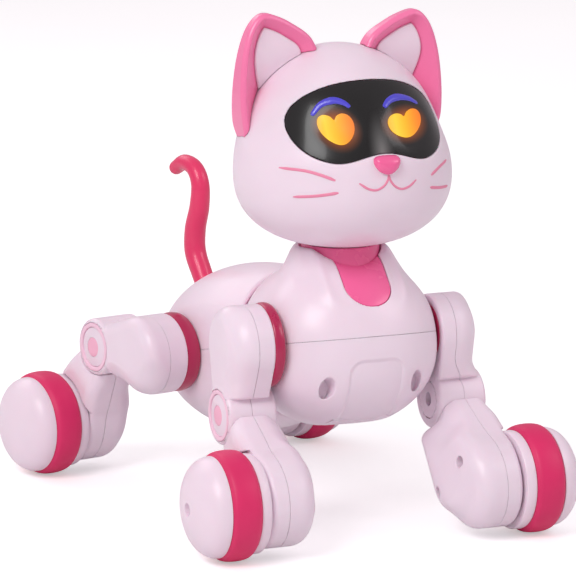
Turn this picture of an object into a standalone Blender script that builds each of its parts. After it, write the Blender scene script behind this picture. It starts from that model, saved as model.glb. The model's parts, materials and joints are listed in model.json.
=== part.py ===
"""Robot cat toy: two-part body, turning head, swinging rump, four jointed legs with a wheel on each foot.

Metres, +Z up. The toy faces -Y and its own left is +X. The origin is on the floor, under the middle of
the bounding box. The chassis frame places the toy there, with its middle plane at the frame's own x = 0.
The body is pitched nose up. Body coordinates run along the shells' seam plane, from the shoulder axis.
"""
import math

import bmesh
import bpy
from mathutils import Matrix, Vector

# Driving dimensions, in metres and radians
GAP = 0.0003                             # clearance between neighbours
SEAM_GAP = 0.0006                        # between the upper and lower body shells
SEAM_TRIM = 0.0010                       # lower shells start this high, before their rim is levelled
WALL = 0.002                             # shell thickness
CHASSIS = Vector((0.00905, 0.00807, 0))  # where the chassis frame stands
BODY_PITCH = math.radians(11.45)         # nose up
SHOULDER = Vector((0.0, -0.0773, 0.0892))
HIP = Vector((0.0, 0.0374, 0.0660))      # before the rump is swung
WAIST_Y = 0.0039                         # upright swing axis of the rump
RUMP_SWING = math.radians(11.6)
WHEEL_R = 0.025
THIGH_LENGTH = 0.0318                    # hip axis to knee axis
SHANK_LENGTH = 0.0496                    # knee axis to wheel axis
WHEEL_Y = {"front_right": -0.1114, "front_left": -0.1162, "rear_right": 0.0974, "rear_left": 0.0870}

LEG_SEAM_X = 0.0520                      # the two half shells of a leg meet here
THIGH_IN_X = 0.0450
THIGH_OUT_X = 0.0635
BARREL_IN_X = 0.0396
BARREL_R = 0.0137
BARREL_END_R = 0.0119                    # slimmer inboard, to pass the hip disc
HIP_DISC_R = 0.0195
FOOT_IN_X = 0.0365
FOOT_OUT_X = 0.0610
FOOT_R = 0.0205
TYRE_IN_X = 0.0664
TYRE_OUT_X = 0.0809
HUB_IN_X = 0.0618
HUB_TIP_X = 0.0936

CHEST = {"half": 0.0431, "front": 0.0380, "back": 0.0660, "up": 0.0402, "down": 0.0364, "power": 2.1}
CHEST_CENTRE = Vector((0.0, 0.0052, -0.0025))
CHEST_FLAT_X = 0.0388
CHEST_RIM_Y = 0.0500
CHEST_RIM_RISE = 0.0025                  # the rim is centred this much above the front
MANTLE_HEIGHT = 0.0090                   # raised shoulder round the neck
BIB_R = 0.0121
BIB_LENGTH = 0.024
BIB_SLOPE = math.radians(46.2)           # the bib's outline looks up at this angle
HATCH = ((-0.0150, -0.0080), (0.0150, 0.0240))
SHAFT_HOLE_R = 0.0060                    # for the stubs of the hip discs
BELLY_FLAT_Z = -0.0375
RUMP = {"half": 0.0390, "front": 0.0700, "back": 0.0623, "up": 0.0382, "down": 0.0422, "power": 2.0}
RUMP_CENTRE = Vector((0.0, 0.1006, -0.0002))
RUMP_FLAT_X = 0.0340
RUMP_MOUTH_Y = 0.0660
RUMP_HIP_Y = 0.1170
TAIL_BASE = Vector((0.0, 0.1385, 0.0240))
TAIL_TILT = math.radians(20.5)
WAIST_PIN_R = 0.0035
WAIST_ARM_Z = (0.0784, 0.0850)
NECK_Y = 0.0016                          # body coordinate of the collar
NECK_R = 0.0180

NECK_AXIS_Y = -0.0690                    # upright axis that the head turns on
HEAD_CENTRE = Vector((0.0, 0.0, 0.1660)) # the head is measured from its own axis
HEAD_HALF = 0.0503
HEAD_FRONT = 0.0505
HEAD_BACK = 0.0460
HEAD_UP = 0.0575
HEAD_DOWN = 0.0344
CROWN_LEAN = 0.0060                      # the crown sits this much behind the jaw
HEAD_SEAM_Y = 0.0250
NECK_POST_R = 0.0075
VISOR_MIDDLE_Z = 0.1895
VISOR_HALF = 0.0370
VISOR_ABOVE = 0.0212
VISOR_BELOW = 0.0143
VISOR_NOTCH = 0.0048
EAR_Y = 0.0035                           # the ears thin towards this plane as they rise
EAR_FOOT_Z = 0.180
EAR_HEIGHT = 0.0588
EAR_THINNING = 0.60

KNEE_SHAFT_R = 0.0031
AXLE_R = 0.0030
BLADE_X = (0.0505, 0.0535)               # the blade that turns in the knee
CAP_R = 0.0116
TYRE_SEAT_R = 0.0205

COLOURS = {
    "shell": ((0.90, 0.78, 0.87), 0.32, 0.0),
    "pink": ((0.93, 0.22, 0.45), 0.35, 0.0),
    "deep_pink": ((0.62, 0.03, 0.14), 0.40, 0.0),
    "tyre_pink": ((0.68, 0.06, 0.20), 0.55, 0.0),
    "pale_pink": ((0.96, 0.62, 0.75), 0.35, 0.0),
    "black": ((0.012, 0.012, 0.014), 0.08, 0.0),
    "grey": ((0.25, 0.25, 0.27), 0.50, 0.0),
    "board": ((0.02, 0.20, 0.07), 0.45, 0.0),
    "battery": ((0.05, 0.15, 0.45), 0.40, 0.0),
    "steel": ((0.55, 0.55, 0.57), 0.30, 1.0),
}


def collection(name):
    """Make a collection in the scene."""
    made = bpy.data.collections.new(name)
    bpy.context.scene.collection.children.link(made)
    return made


def clear_scene():
    """Remove every object, mesh and collection that is already there."""
    for obj in list(bpy.data.objects):
        bpy.data.objects.remove(obj, do_unlink=True)
    for group in list(bpy.data.collections):
        bpy.data.collections.remove(group)


clear_scene()
PARTS = collection("robot_cat_toy")
CUTTERS = collection("cutters")


def material(kind):
    """Principled material of one of the toy's plastics or metals."""
    found = bpy.data.materials.get(kind)
    if found:
        return found
    colour, rough, metal = COLOURS[kind]
    made = bpy.data.materials.new(kind)
    made.use_nodes = True
    shader = made.node_tree.nodes["Principled BSDF"]
    shader.inputs["Base Color"].default_value = (*colour, 1.0)
    shader.inputs["Roughness"].default_value = rough
    shader.inputs["Metallic"].default_value = metal
    return made


def frame(name, location=(0, 0, 0), rotation=(0, 0, 0), parent=None):
    """An empty that carries pieces: a body frame or a joint axis."""
    empty = bpy.data.objects.new(name, None)
    PARTS.objects.link(empty)
    empty.empty_display_size = 0.01
    empty.location = location
    empty.rotation_euler = rotation
    empty.parent = parent
    return empty


def add_piece(name, bm, parent, kind):
    """Turn a bmesh into a named, parented piece with its material."""
    mesh = bpy.data.meshes.new(name)
    bm.to_mesh(mesh)
    bm.free()
    mesh.materials.append(material(kind))
    mesh.shade_smooth()
    mesh.set_sharp_from_angle(angle=math.radians(35))
    obj = bpy.data.objects.new(name, mesh)
    PARTS.objects.link(obj)
    obj.parent = parent
    return obj


def add_cutter(name, bm, parent):
    """A solid that only shapes others."""
    mesh = bpy.data.meshes.new(name)
    bm.to_mesh(mesh)
    bm.free()
    obj = bpy.data.objects.new(name, mesh)
    CUTTERS.objects.link(obj)
    obj.parent = parent
    obj.hide_render = True
    obj.display_type = "WIRE"
    return obj


def boolean(obj, tool, operation="DIFFERENCE"):
    """Cut, join or keep the common part with another solid."""
    step = obj.modifiers.new(operation.lower() + "_" + tool.name, "BOOLEAN")
    step.object = tool
    step.operation = operation
    step.solver = "EXACT"
    return obj


def solidify(obj, thickness=WALL):
    """Give an open surface its wall, grown inwards."""
    step = obj.modifiers.new("wall", "SOLIDIFY")
    step.thickness = thickness
    step.offset = -1.0
    step.use_even_offset = True


def bevel(obj, width, segments=2, angle=50):
    """Round the edges that are sharper than an angle in degrees."""
    step = obj.modifiers.new("round", "BEVEL")
    step.width = width
    step.segments = segments
    step.limit_method = "ANGLE"
    step.angle_limit = math.radians(angle)


def box(low, high):
    """A box between two corners."""
    bm = bmesh.new()
    bmesh.ops.create_cube(bm, size=1.0)
    low = Vector(low)
    high = Vector(high)
    for vert in bm.verts:
        vert.co = Vector((c * s for c, s in zip(vert.co, high - low))) + (low + high) / 2
    return bm


def rod(radius, start, end, axis="Z", segments=16):
    """A cylinder along a local axis, from one height to another, centred on that axis."""
    bm = bmesh.new()
    middle = (start + end) / 2
    bmesh.ops.create_cone(bm, cap_ends=True, segments=segments, radius1=radius, radius2=radius,
                          depth=abs(end - start), matrix=Matrix.Translation((0, 0, middle)))
    turns = {"Z": Matrix(), "X": Matrix.Rotation(math.pi / 2, 4, "Y"),
             "Y": Matrix.Rotation(-math.pi / 2, 4, "X")}
    bmesh.ops.transform(bm, matrix=turns[axis], verts=bm.verts)
    return bm


def moved(bm, offset):
    """Shift a whole bmesh."""
    bmesh.ops.translate(bm, vec=Vector(offset), verts=bm.verts)
    return bm


def turned(name, profile, parent, kind, side=1, steps=16, closed=False):
    """Turn a profile of (height, radius) pairs, highest first, about the sideways axis of a leg."""
    bm = bmesh.new()
    verts = [bm.verts.new((radius, 0.0, height)) for height, radius in profile]
    for first, second in zip(verts, verts[1:]):
        bm.edges.new((first, second))
    if closed:
        bm.edges.new((verts[-1], verts[0]))
    obj = add_piece(name, bm, parent, kind)
    step = obj.modifiers.new("turn", "SCREW")
    step.axis = "Z"
    step.steps = steps
    step.render_steps = steps
    step.use_merge_vertices = True
    step.merge_threshold = 0.00001
    step.use_smooth_shade = True
    obj.rotation_euler = (0.0, side * math.pi / 2, 0.0)
    return obj


def prism(outline, low, high, axis="X"):
    """A closed outline of (first, second) pairs, extruded along one axis."""
    def place(pair, height):
        first, second = pair
        return Vector((height, first, second)) if axis == "X" else Vector((first, height, second))

    bm = bmesh.new()
    ring = [bm.verts.new(place(pair, low)) for pair in outline]
    face = bm.faces.new(ring)
    grown = bmesh.ops.extrude_face_region(bm, geom=[face])
    tops = [item for item in grown["geom"] if isinstance(item, bmesh.types.BMVert)]
    bmesh.ops.translate(bm, vec=place((0, 0), high) - place((0, 0), low), verts=tops)
    bmesh.ops.recalc_face_normals(bm, faces=bm.faces)
    return bm


# Body shells ------------------------------------------------------------------------------------------------

def swollen_ball(size, centre, grow=0.0, segments=20, rings=12):
    """A ball with its own reach in each direction, squarer as its power grows."""
    bm = bmesh.new()
    bmesh.ops.create_uvsphere(bm, u_segments=segments, v_segments=rings, radius=1.0)
    power = size["power"]
    for vert in bm.verts:
        d = vert.co.normalized()
        reach = (abs(d.x) ** power + abs(d.y) ** power + abs(d.z) ** power) ** (-1.0 / power)
        along = size["front"] if d.y < 0 else size["back"]
        high = size["up"] if d.z > 0 else size["down"]
        d = d * reach
        vert.co = centre + Vector((d.x * (size["half"] + grow), d.y * (along + grow), d.z * (high + grow)))
    return bm


def keep_side(bm, point, normal):
    """Cut an open surface at a plane and keep what lies on the normal's side."""
    geometry = list(bm.verts) + list(bm.edges) + list(bm.faces)
    bmesh.ops.bisect_plane(bm, geom=geometry, dist=1e-7, plane_co=point, plane_no=normal, clear_inner=True)
    return bm


def chest_surface(upper):
    """Half of the chest skin: flat where the shoulders turn, raised into a mantle around the neck."""
    bm = swollen_ball(CHEST, CHEST_CENTRE)
    for vert in bm.verts:
        co = vert.co
        if co.z > 0.010:
            away = math.hypot(co.x, co.y - NECK_Y)
            forward = max(0.0, (NECK_Y - co.y) / away) if away > 0.001 else 0.0
            co.z += MANTLE_HEIGHT * math.exp(-((away - 0.021) / 0.008) ** 2) * (1.0 - forward ** 2)
        behind = max(0.0, (co.y - CHEST_CENTRE.y) / (CHEST_RIM_Y - CHEST_CENTRE.y))
        co.z += CHEST_RIM_RISE * behind + (0.06 if co.z > 0 else 0.12) * behind * co.z
        co.x = max(-CHEST_FLAT_X, min(CHEST_FLAT_X, co.x))
        co.z = max(BELLY_FLAT_Z, co.z)
    if upper:
        keep_side(bm, (0, 0, SEAM_GAP / 2), (0, 0, 1))
    else:
        keep_side(bm, (0, 0, SEAM_TRIM), (0, 0, -1))
    return keep_side(bm, (0, CHEST_RIM_Y, 0), (0, -1, 0))


def trim_seam(shell, body):
    """Level a lower shell's rim, which its wall would otherwise lift over the seam plane."""
    slab = box((-0.060, -0.050, -SEAM_GAP / 2), (0.060, 0.180, 0.010))
    boolean(shell, add_cutter(shell.name + "_seam_trim", slab, body))


def bib_prism(radius, name, parent):
    """Tongue outline of the bib, run through the front of the chest at right angles to it."""
    bm = rod(radius, 0.010, 0.060, segments=20)
    for vert in bm.verts:
        if vert.co.y > 1e-6:
            vert.co.y += BIB_LENGTH
    tool = add_cutter(name, bm, parent)
    tool.rotation_euler = (BIB_SLOPE, 0.0, 0.0)
    tool.location = (0.0, 0.0009, -0.0010)
    return tool


def build_chest(body):
    """Upper and lower chest shells, with the bib and the battery cover let into them."""
    upper = add_piece("chest_upper_shell", chest_surface(True), body, "shell")
    solidify(upper)
    boolean(upper, bib_prism(BIB_R + GAP, "bib_opening", body))
    neck = moved(rod(NECK_R + 0.0004, 0.012, 0.070, segments=22), (0, NECK_Y, 0))
    boolean(upper, add_cutter("neck_opening", neck, body))

    lower = add_piece("chest_lower_shell", chest_surface(False), body, "shell")
    solidify(lower)
    hatch = box((*HATCH[0], -0.060), (*HATCH[1], -0.020))
    boolean(lower, add_cutter("battery_hatch", hatch, body))
    trim_seam(lower, body)
    for shell in (upper, lower):
        shaft = rod(SHAFT_HOLE_R, -0.060, 0.060, "X", 16)
        boolean(shell, add_cutter(shell.name + "_shaft_holes", shaft, body))

    bib = add_piece("chest_bib", chest_surface(True), body, "pink")
    solidify(bib)
    boolean(bib, bib_prism(BIB_R, "bib_outline", body), "INTERSECT")
    clear = moved(rod(NECK_R + 0.0005, 0.012, 0.070, segments=22), (0, NECK_Y, 0))
    boolean(bib, add_cutter("bib_neck_clearance", clear, body))

    cover = add_piece("battery_cover", chest_surface(False), body, "shell")
    solidify(cover)
    lid = box((HATCH[0][0] + GAP, HATCH[0][1] + GAP, -0.060), (HATCH[1][0] - GAP, HATCH[1][1] - GAP, -0.020))
    boolean(cover, add_cutter("battery_lid", lid, body), "INTERSECT")


def build_neck(body, chassis):
    """Tilted pink collar with the upright post that the head turns on."""
    ring = moved(rod(NECK_R, 0.0290, 0.0520, segments=24), (0, NECK_Y, 0))
    collar = add_piece("neck_collar", ring, body, "pink")
    sweep = {"half": HEAD_HALF + 0.0012, "front": HEAD_HALF + 0.0012, "back": HEAD_HALF + 0.0012,
             "up": HEAD_UP, "down": HEAD_DOWN + 0.0005, "power": 2.35}
    head_place = HEAD_CENTRE + Vector((0.0, NECK_AXIS_Y, 0.0))
    boolean(collar, add_cutter("head_sweep", swollen_ball(sweep, head_place), chassis))
    stem = moved(rod(NECK_POST_R, 0.1250, 0.1440, segments=16), (0, NECK_AXIS_Y, 0))
    boolean(collar, add_cutter("neck_stem", stem, chassis), "UNION")
    cap = moved(rod(0.0105, 0.1438, 0.1460, segments=16), (0, NECK_AXIS_Y, 0))
    boolean(collar, add_cutter("neck_stem_cap", cap, chassis), "UNION")


def build_waist(body, chassis):
    """Sleeve that skirts the rump, and the arm that reaches the swing axis inside it."""
    profile = [(0.0700, 0.0258), (0.0700, 0.0275), (0.0470, 0.0280), (0.0450, 0.0280), (0.0450, 0.0082),
               (0.0470, 0.0082), (0.0470, 0.0258)]
    sleeve = turned("waist_sleeve", profile, body, "pale_pink", steps=24, closed=True)
    sleeve.rotation_euler = (-math.pi / 2, 0.0, 0.0)
    sleeve.scale = (0.90, 1.0, 1.0)
    bar = box((-0.0055, -0.0630, WAIST_ARM_Z[0]), (0.0055, 0.0060, WAIST_ARM_Z[1]))
    arm = add_piece("waist_arm", bar, chassis, "grey")
    bevel(arm, 0.0010, 1)
    boss = rod(0.0085, WAIST_ARM_Z[0] - 0.0004, WAIST_ARM_Z[1] + 0.0004, segments=20)
    boss = moved(boss, (0, WAIST_Y, 0))
    boolean(arm, add_cutter("waist_boss", boss, chassis), "UNION")
    bore = moved(rod(WAIST_PIN_R + GAP, 0.060, 0.100, segments=16), (0, WAIST_Y, 0))
    boolean(arm, add_cutter("waist_bore", bore, chassis))


def rump_surface(upper):
    """Half of the rump skin, flat where the hips turn and open in front for the waist arm."""
    bm = swollen_ball(RUMP, RUMP_CENTRE)
    for vert in bm.verts:
        vert.co.x = max(-RUMP_FLAT_X, min(RUMP_FLAT_X, vert.co.x))
    if upper:
        keep_side(bm, (0, 0, SEAM_GAP / 2), (0, 0, 1))
    else:
        keep_side(bm, (0, 0, SEAM_TRIM), (0, 0, -1))
    return keep_side(bm, (0, RUMP_MOUTH_Y, 0), (0, 1, 0))


def build_rump(body, swing):
    """Rump shells, the gearbox between the hips with the waist pin, the speaker and the power switch."""
    for name, upper in (("rump_upper_shell", True), ("rump_lower_shell", False)):
        shell = add_piece(name, rump_surface(upper), body, "shell")
        solidify(shell)
        if not upper:
            trim_seam(shell, body)
        hole = moved(rod(SHAFT_HOLE_R, -0.060, 0.060, "X", 16), (0, RUMP_HIP_Y, 0))
        boolean(shell, add_cutter(name + "_shaft_holes", hole, body))
        if upper:
            socket = frame("tail_axis", TAIL_BASE, (-TAIL_TILT, 0, 0), body)
            boolean(shell, add_cutter("tail_socket", rod(0.0050, -0.010, 0.030, segments=16), socket))
        else:
            slot = box((-0.0065, 0.0960, -0.060), (0.0065, 0.1010, -0.030))
            boolean(shell, add_cutter("switch_slot", slot, body))

    case = box((-0.0230, 0.0215, 0.0550), (0.0230, 0.0455, 0.0770))
    gearbox = add_piece("hip_gearbox", case, swing, "grey")
    bevel(gearbox, 0.0015, 1)
    riser = box((-0.0090, 0.0190, 0.0700), (0.0090, 0.0270, 0.0880))
    boolean(gearbox, add_cutter("waist_lug_riser", riser, swing), "UNION")
    lug = box((-0.0089, -0.0090, 0.0860), (0.0089, 0.0269, 0.0895))
    boolean(gearbox, add_cutter("waist_lug", lug, swing), "UNION")
    pin = rod(WAIST_PIN_R, 0.0750, 0.0880, segments=16)
    boolean(gearbox, add_cutter("waist_pin", pin, swing), "UNION")

    cone = [(-0.0150, 0.0), (-0.0150, 0.0050), (-0.0210, 0.0060), (-0.0240, 0.0110), (-0.0260, 0.0110),
            (-0.0260, 0.0)]
    speaker = turned("speaker", cone, body, "grey", steps=16)
    speaker.rotation_euler = (0, 0, 0)
    speaker.location = (0.0, 0.1250, 0.0)

    knob = box((-0.0062, 0.0964, -0.0434), (-0.0002, 0.1006, -0.0380))
    knob = add_piece("power_switch", knob, body, "deep_pink")
    bevel(knob, 0.0006, 1)


def build_tail(body):
    """Soft tapering tail that plugs into the rump and curls over at its tip."""
    socket = bpy.data.objects["tail_axis"]
    curve = bpy.data.curves.new("tail_path", "CURVE")
    curve.dimensions = "3D"
    curve.bevel_depth = 0.0050
    curve.bevel_resolution = 2
    curve.use_fill_caps = True
    curve.resolution_u = 3
    path = [(0.0, 0.0), (0.0, 0.0110), (0.0008, 0.0220), (-0.0018, 0.0297), (-0.0152, 0.0409),
            (-0.0223, 0.0548), (-0.0200, 0.0634), (-0.0110, 0.0680), (-0.0022, 0.0650)]
    radii = [0.90, 0.94, 1.02, 1.00, 0.82, 0.74, 0.71, 0.68, 0.62]
    spline = curve.splines.new("BEZIER")
    spline.bezier_points.add(len(path) - 1)
    for point, (along, up), radius in zip(spline.bezier_points, path, radii):
        point.co = (0.0, along, up)
        point.radius = radius
        point.handle_left_type = "AUTO"
        point.handle_right_type = "AUTO"
    wire = bpy.data.objects.new("tail_wire", curve)
    PARTS.objects.link(wire)
    wire.parent = socket
    bpy.context.view_layer.update()
    graph = bpy.context.evaluated_depsgraph_get()
    mesh = bpy.data.meshes.new_from_object(wire.evaluated_get(graph))
    bm = bmesh.new()
    bm.from_mesh(mesh)
    bmesh.ops.remove_doubles(bm, verts=bm.verts, dist=0.00002)
    bmesh.ops.recalc_face_normals(bm, faces=bm.faces)
    bpy.data.objects.remove(wire, do_unlink=True)
    add_piece("tail", bm, socket, "pink")


def build_insides(body):
    """What the chest holds: the shoulder gearbox, the circuit board and the battery pack."""
    case = box((-0.0290, -0.0130, -0.0120), (0.0290, 0.0130, 0.0120))
    gearbox = add_piece("shoulder_gearbox", case, body, "grey")
    bevel(gearbox, 0.0020, 1)
    board = add_piece("main_board", box((-0.0230, -0.0080, 0.0165), (0.0230, 0.0260, 0.0181)), body, "board")
    chips = box((-0.0080, 0.0000, 0.0175), (0.0080, 0.0140, 0.0200))
    boolean(board, add_cutter("main_board_chip", chips, body), "UNION")
    cells = box((-0.0210, -0.0060, -0.0290), (0.0210, 0.0230, -0.0150))
    pack = add_piece("battery_pack", cells, body, "battery")
    bevel(pack, 0.0030, 2)


# Head -------------------------------------------------------------------------------------------------------

def head_surface(grow=0.0):
    """Head skin: wide round cheeks and a crown that leans back."""
    bm = bmesh.new()
    bmesh.ops.create_uvsphere(bm, u_segments=24, v_segments=14, radius=1.0)
    for vert in bm.verts:
        d = vert.co.normalized()
        power = 2.0 if d.z > 0 else 2.35
        around = math.hypot(d.x, d.y)
        level = around ** (2.0 / power)
        height = abs(d.z) ** (2.0 / power)
        tall = (HEAD_UP + grow) * height if d.z > 0 else -(HEAD_DOWN + grow) * height
        turn_x = d.x / around if around > 1e-6 else 0.0
        turn_y = d.y / around if around > 1e-6 else 0.0
        deep = HEAD_FRONT if d.y < 0 else HEAD_BACK
        lean = CROWN_LEAN * height ** 2 if d.z > 0 else 0.0
        vert.co = HEAD_CENTRE + Vector((turn_x * level * (HEAD_HALF + grow),
                                        turn_y * level * (deep + grow) + lean, tall))
    return bm


def visor_outline(inset):
    """Mask outline: an arch above, two lobes and a shallow notch below, as (x, z) pairs."""
    half = VISOR_HALF - inset
    count = 10

    def above(x):
        return VISOR_MIDDLE_Z + (VISOR_ABOVE - inset) * max(0.0, 1 - abs(x / half) ** 2.2) ** 0.5

    def below(x):
        lobe = (VISOR_BELOW - inset) * max(0.0, 1 - abs(x / half) ** 4.5) ** 0.5
        notch = VISOR_NOTCH * math.cos(min(1.0, abs(x) / 0.024) * math.pi / 2) ** 2
        return VISOR_MIDDLE_Z - lobe + notch

    across = [half * math.sin(math.pi * (i / count - 0.5)) for i in range(count + 1)]
    return [(x, above(x)) for x in across] + [(x, below(x)) for x in reversed(across[1:-1])]


def build_head(head):
    """Face and back shells, the visor in its window, the lights behind it and the nose."""
    face_skin = keep_side(head_surface(), (0, HEAD_SEAM_Y - GAP / 2, 0), (0, -1, 0))
    face = add_piece("head_face_shell", face_skin, head, "shell")
    solidify(face)
    boolean(face, add_cutter("visor_window", prism(visor_outline(0.0), -0.081, -0.006, "Y"), head))
    neck = rod(NECK_POST_R + 0.0006, 0.120, 0.141, segments=16)
    boolean(face, add_cutter("head_neck_hole", neck, head))

    back_skin = keep_side(head_surface(), (0, HEAD_SEAM_Y - WALL, 0), (0, 1, 0))
    back = add_piece("head_back_shell", back_skin, head, "shell")
    solidify(back)
    ahead = box((-0.060, HEAD_SEAM_Y - 0.010, 0.120), (0.060, HEAD_SEAM_Y + GAP / 2, 0.240))
    boolean(back, add_cutter("head_seam_trim", ahead, head))

    visor = add_piece("visor", keep_side(head_surface(), (0, -0.006, 0), (0, -1, 0)), head, "black")
    solidify(visor)
    window = prism(visor_outline(GAP), -0.081, -0.001, "Y")
    boolean(visor, add_cutter("visor_edge", window, head), "INTERSECT")

    card = box((-0.0270, -0.0190, 0.1800), (0.0270, -0.0174, 0.2020))
    lights = add_piece("eye_light_board", card, head, "board")
    for side in (-1, 1):
        lamp = moved(rod(0.0060, -0.0240, -0.0180, "Y", 16), (side * 0.0165, 0, 0.1905))
        boolean(lights, add_cutter("eye_lamp_" + ("right" if side < 0 else "left"), lamp, head), "UNION")

    button = {"half": 0.0064, "front": 0.0034, "back": 0.0040, "up": 0.0036, "down": 0.0050, "power": 2.0}
    nose_skin = swollen_ball(button, Vector((0.0, -0.0488, 0.1754)), segments=16, rings=10)
    nose = add_piece("nose", nose_skin, head, "pink")
    boolean(nose, add_cutter("nose_seat", head_surface(GAP), head))


def ear_outline(side, inset):
    """Ear outline as (x, z) pairs: up the inner edge, round the tip and down the outer edge to the cheek."""
    inner = (0.0110, 0.2140)
    tip = (0.0372, 0.2388)
    outer = (0.0512, 0.2030)
    cheek = (0.0430, 0.1790)
    points = [inner, (0.0140, 0.2275), (0.0245, 0.2345), (0.0325, 0.2382), tip, (0.0418, 0.2362),
              (0.0460, 0.2290), (0.0493, 0.2190), outer, (0.0508, 0.1920), (0.0490, 0.1840), cheek,
              (0.0330, 0.1850), (0.0200, 0.2050)]
    centre = Vector((0.0360, 0.2130))
    shrunk = []
    for x, z in points:
        arm = Vector((x, z)) - centre
        arm *= 1.0 - inset / arm.length
        shrunk.append((side * (centre.x + arm.x), centre.y + arm.y))
    return shrunk


def build_ear(head, side, word):
    """Pink ear with a pocket in front, and the pale insert that lines the pocket."""
    rim_mesh = prism(ear_outline(side, 0.0), EAR_Y - 0.0095, EAR_Y + 0.0095, "Y")
    rim = add_piece("ear_rim_" + word, rim_mesh, head, "pink")
    for vert in rim.data.vertices:
        rise = max(0.0, (vert.co.z - EAR_FOOT_Z) / EAR_HEIGHT)
        vert.co.y = EAR_Y + (vert.co.y - EAR_Y) * (1.0 - EAR_THINNING * rise)
    bevel(rim, 0.0022, 2, 40)
    pocket = prism(ear_outline(side, 0.0060), -0.0210, EAR_Y, "Y")
    boolean(rim, add_cutter("ear_pocket_" + word, pocket, head))
    boolean(rim, add_cutter("ear_seat_" + word, head_surface(GAP), head))
    insert = prism(ear_outline(side, 0.0075), 0.0015, EAR_Y - GAP, "Y")
    inner = add_piece("ear_inner_" + word, insert, head, "shell")
    boolean(inner, add_cutter("ear_inner_seat_" + word, head_surface(GAP), head))


# Legs -------------------------------------------------------------------------------------------------------

def leg_angles(axis, wheel_y):
    """Thigh and shank angles from straight down that set the wheel on the floor, with the knee behind."""
    reach = Vector((wheel_y - axis.y, WHEEL_R - axis.z))
    distance = reach.length
    towards = math.atan2(reach.x, -reach.y)
    bend = (THIGH_LENGTH ** 2 + distance ** 2 - SHANK_LENGTH ** 2) / (2 * THIGH_LENGTH * distance)
    thigh = towards + math.acos(bend)
    knee = Vector((axis.y + THIGH_LENGTH * math.sin(thigh), axis.z - THIGH_LENGTH * math.cos(thigh)))
    shank = math.atan2(wheel_y - knee.x, knee.y - WHEEL_R)
    return thigh, shank


def arc(centre, radius, start, end, count):
    """Points on an arc as (y, z) pairs, from one angle in degrees to another."""
    turn = [math.radians(start + (end - start) * i / count) for i in range(count + 1)]
    return [(centre[0] + radius * math.cos(a), centre[1] + radius * math.sin(a)) for a in turn]


def thigh_outline():
    """Round shoulder, narrowing to a waist above the round knee barrel."""
    return arc((0.0, 0.0), 0.0200, -12, 192, 6) + arc((0.0, -THIGH_LENGTH), BARREL_R, 135, 405, 6)


def shank_outline():
    """Arched top under the knee barrel, widening to the round foot."""
    return arc((0.0, -SHANK_LENGTH), FOOT_R, 165, 375, 6) + [(0.0105, -0.0118), (-0.0105, -0.0118)]


def tray(name, outline, seam_x, face_x, parent, round_width):
    """Half shell of a leg: an outline drawn out from the seam, rounded at its face, open at the seam."""
    bm = prism(outline, seam_x, face_x, "X")
    seam_faces = [f for f in bm.faces if all(abs(v.co.x - seam_x) < 1e-6 for v in f.verts)]
    bmesh.ops.delete(bm, geom=seam_faces, context="FACES_ONLY")
    obj = add_piece(name, bm, parent, "shell")
    bevel(obj, round_width, 1)
    solidify(obj, 0.0016)
    return obj


def across(side, first, second, low, high):
    """A box between two distances from the middle plane, on one side of the toy."""
    near, far = sorted((side * first, side * second))
    return box((near, *low), (far, *high))


def build_thigh(leg, side, hip):
    """Two half shells of the thigh and its knee barrel, slotted for the shank's blade."""
    outer = tray(leg + "_thigh_outer_shell", thigh_outline(), side * (LEG_SEAM_X + GAP / 2),
                 side * THIGH_OUT_X, hip, 0.0045)
    inner = tray(leg + "_thigh_inner_shell", thigh_outline(), side * (LEG_SEAM_X - GAP / 2),
                 side * THIGH_IN_X, hip, 0.0030)
    knee = (0.0, 0.0, -THIGH_LENGTH)
    stub = moved(rod(BARREL_END_R, side * BARREL_IN_X, side * (THIGH_IN_X + 0.0008), "X"), knee)
    boolean(inner, add_cutter(leg + "_barrel_end", stub, hip), "UNION")
    recess = moved(rod(0.0120, side * 0.0608, side * 0.0700, "X"), knee)
    boolean(outer, add_cutter(leg + "_cap_recess", recess, hip))
    low = (-0.0170, -THIGH_LENGTH - 0.0180)
    high = (0.0170, -THIGH_LENGTH + 0.0090)
    slot = across(side, BLADE_X[0] - 0.0007, BLADE_X[1] + 0.0007, low, high)
    slot = add_cutter(leg + "_blade_slot", slot, hip)
    hole = moved(rod(KNEE_SHAFT_R + GAP, side * 0.03, side * 0.08, "X", 14), knee)
    hole = add_cutter(leg + "_knee_shaft_hole", hole, hip)
    for shell in (outer, inner):
        boolean(shell, slot)
        boolean(shell, hole)


def build_shank(leg, side, knee):
    """Two half shells of the shank and foot, each with half of the blade that turns in the knee."""
    sweep = add_cutter(leg + "_barrel_sweep", rod(BARREL_R + GAP, side * 0.03, side * 0.08, "X", 16), knee)
    bore = rod(KNEE_SHAFT_R + GAP, side * 0.03, side * 0.08, "X", 14)
    bore = add_cutter(leg + "_blade_bore", bore, knee)
    axle_hole = moved(rod(AXLE_R + 0.0004, side * BLADE_X[1], side * 0.07, "X", 14), (0, 0, -SHANK_LENGTH))
    axle_hole = add_cutter(leg + "_axle_hole", axle_hole, knee)
    halves = (("outer", 0.5, FOOT_OUT_X, BLADE_X[1], 0.0035), ("inner", -0.5, FOOT_IN_X, BLADE_X[0], 0.0050))
    for word, half_gap, face_x, blade_x, rounding in halves:
        seam_x = LEG_SEAM_X + half_gap * GAP
        name = leg + "_shank_" + word + "_shell"
        shell = tray(name, shank_outline(), side * seam_x, side * face_x, knee, rounding)
        boolean(shell, sweep)
        root = across(side, seam_x, blade_x, (-0.0130, -0.0230), (0.0130, -0.0160))
        boolean(shell, add_cutter(shell.name + "_blade_root", root, knee), "UNION")
        blade = across(side, seam_x, blade_x, (-0.0070, -0.0200), (0.0070, 0.0070))
        boolean(shell, add_cutter(shell.name + "_blade", blade, knee), "UNION")
        boolean(shell, bore)
        if word == "outer":
            boolean(shell, axle_hole)


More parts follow.
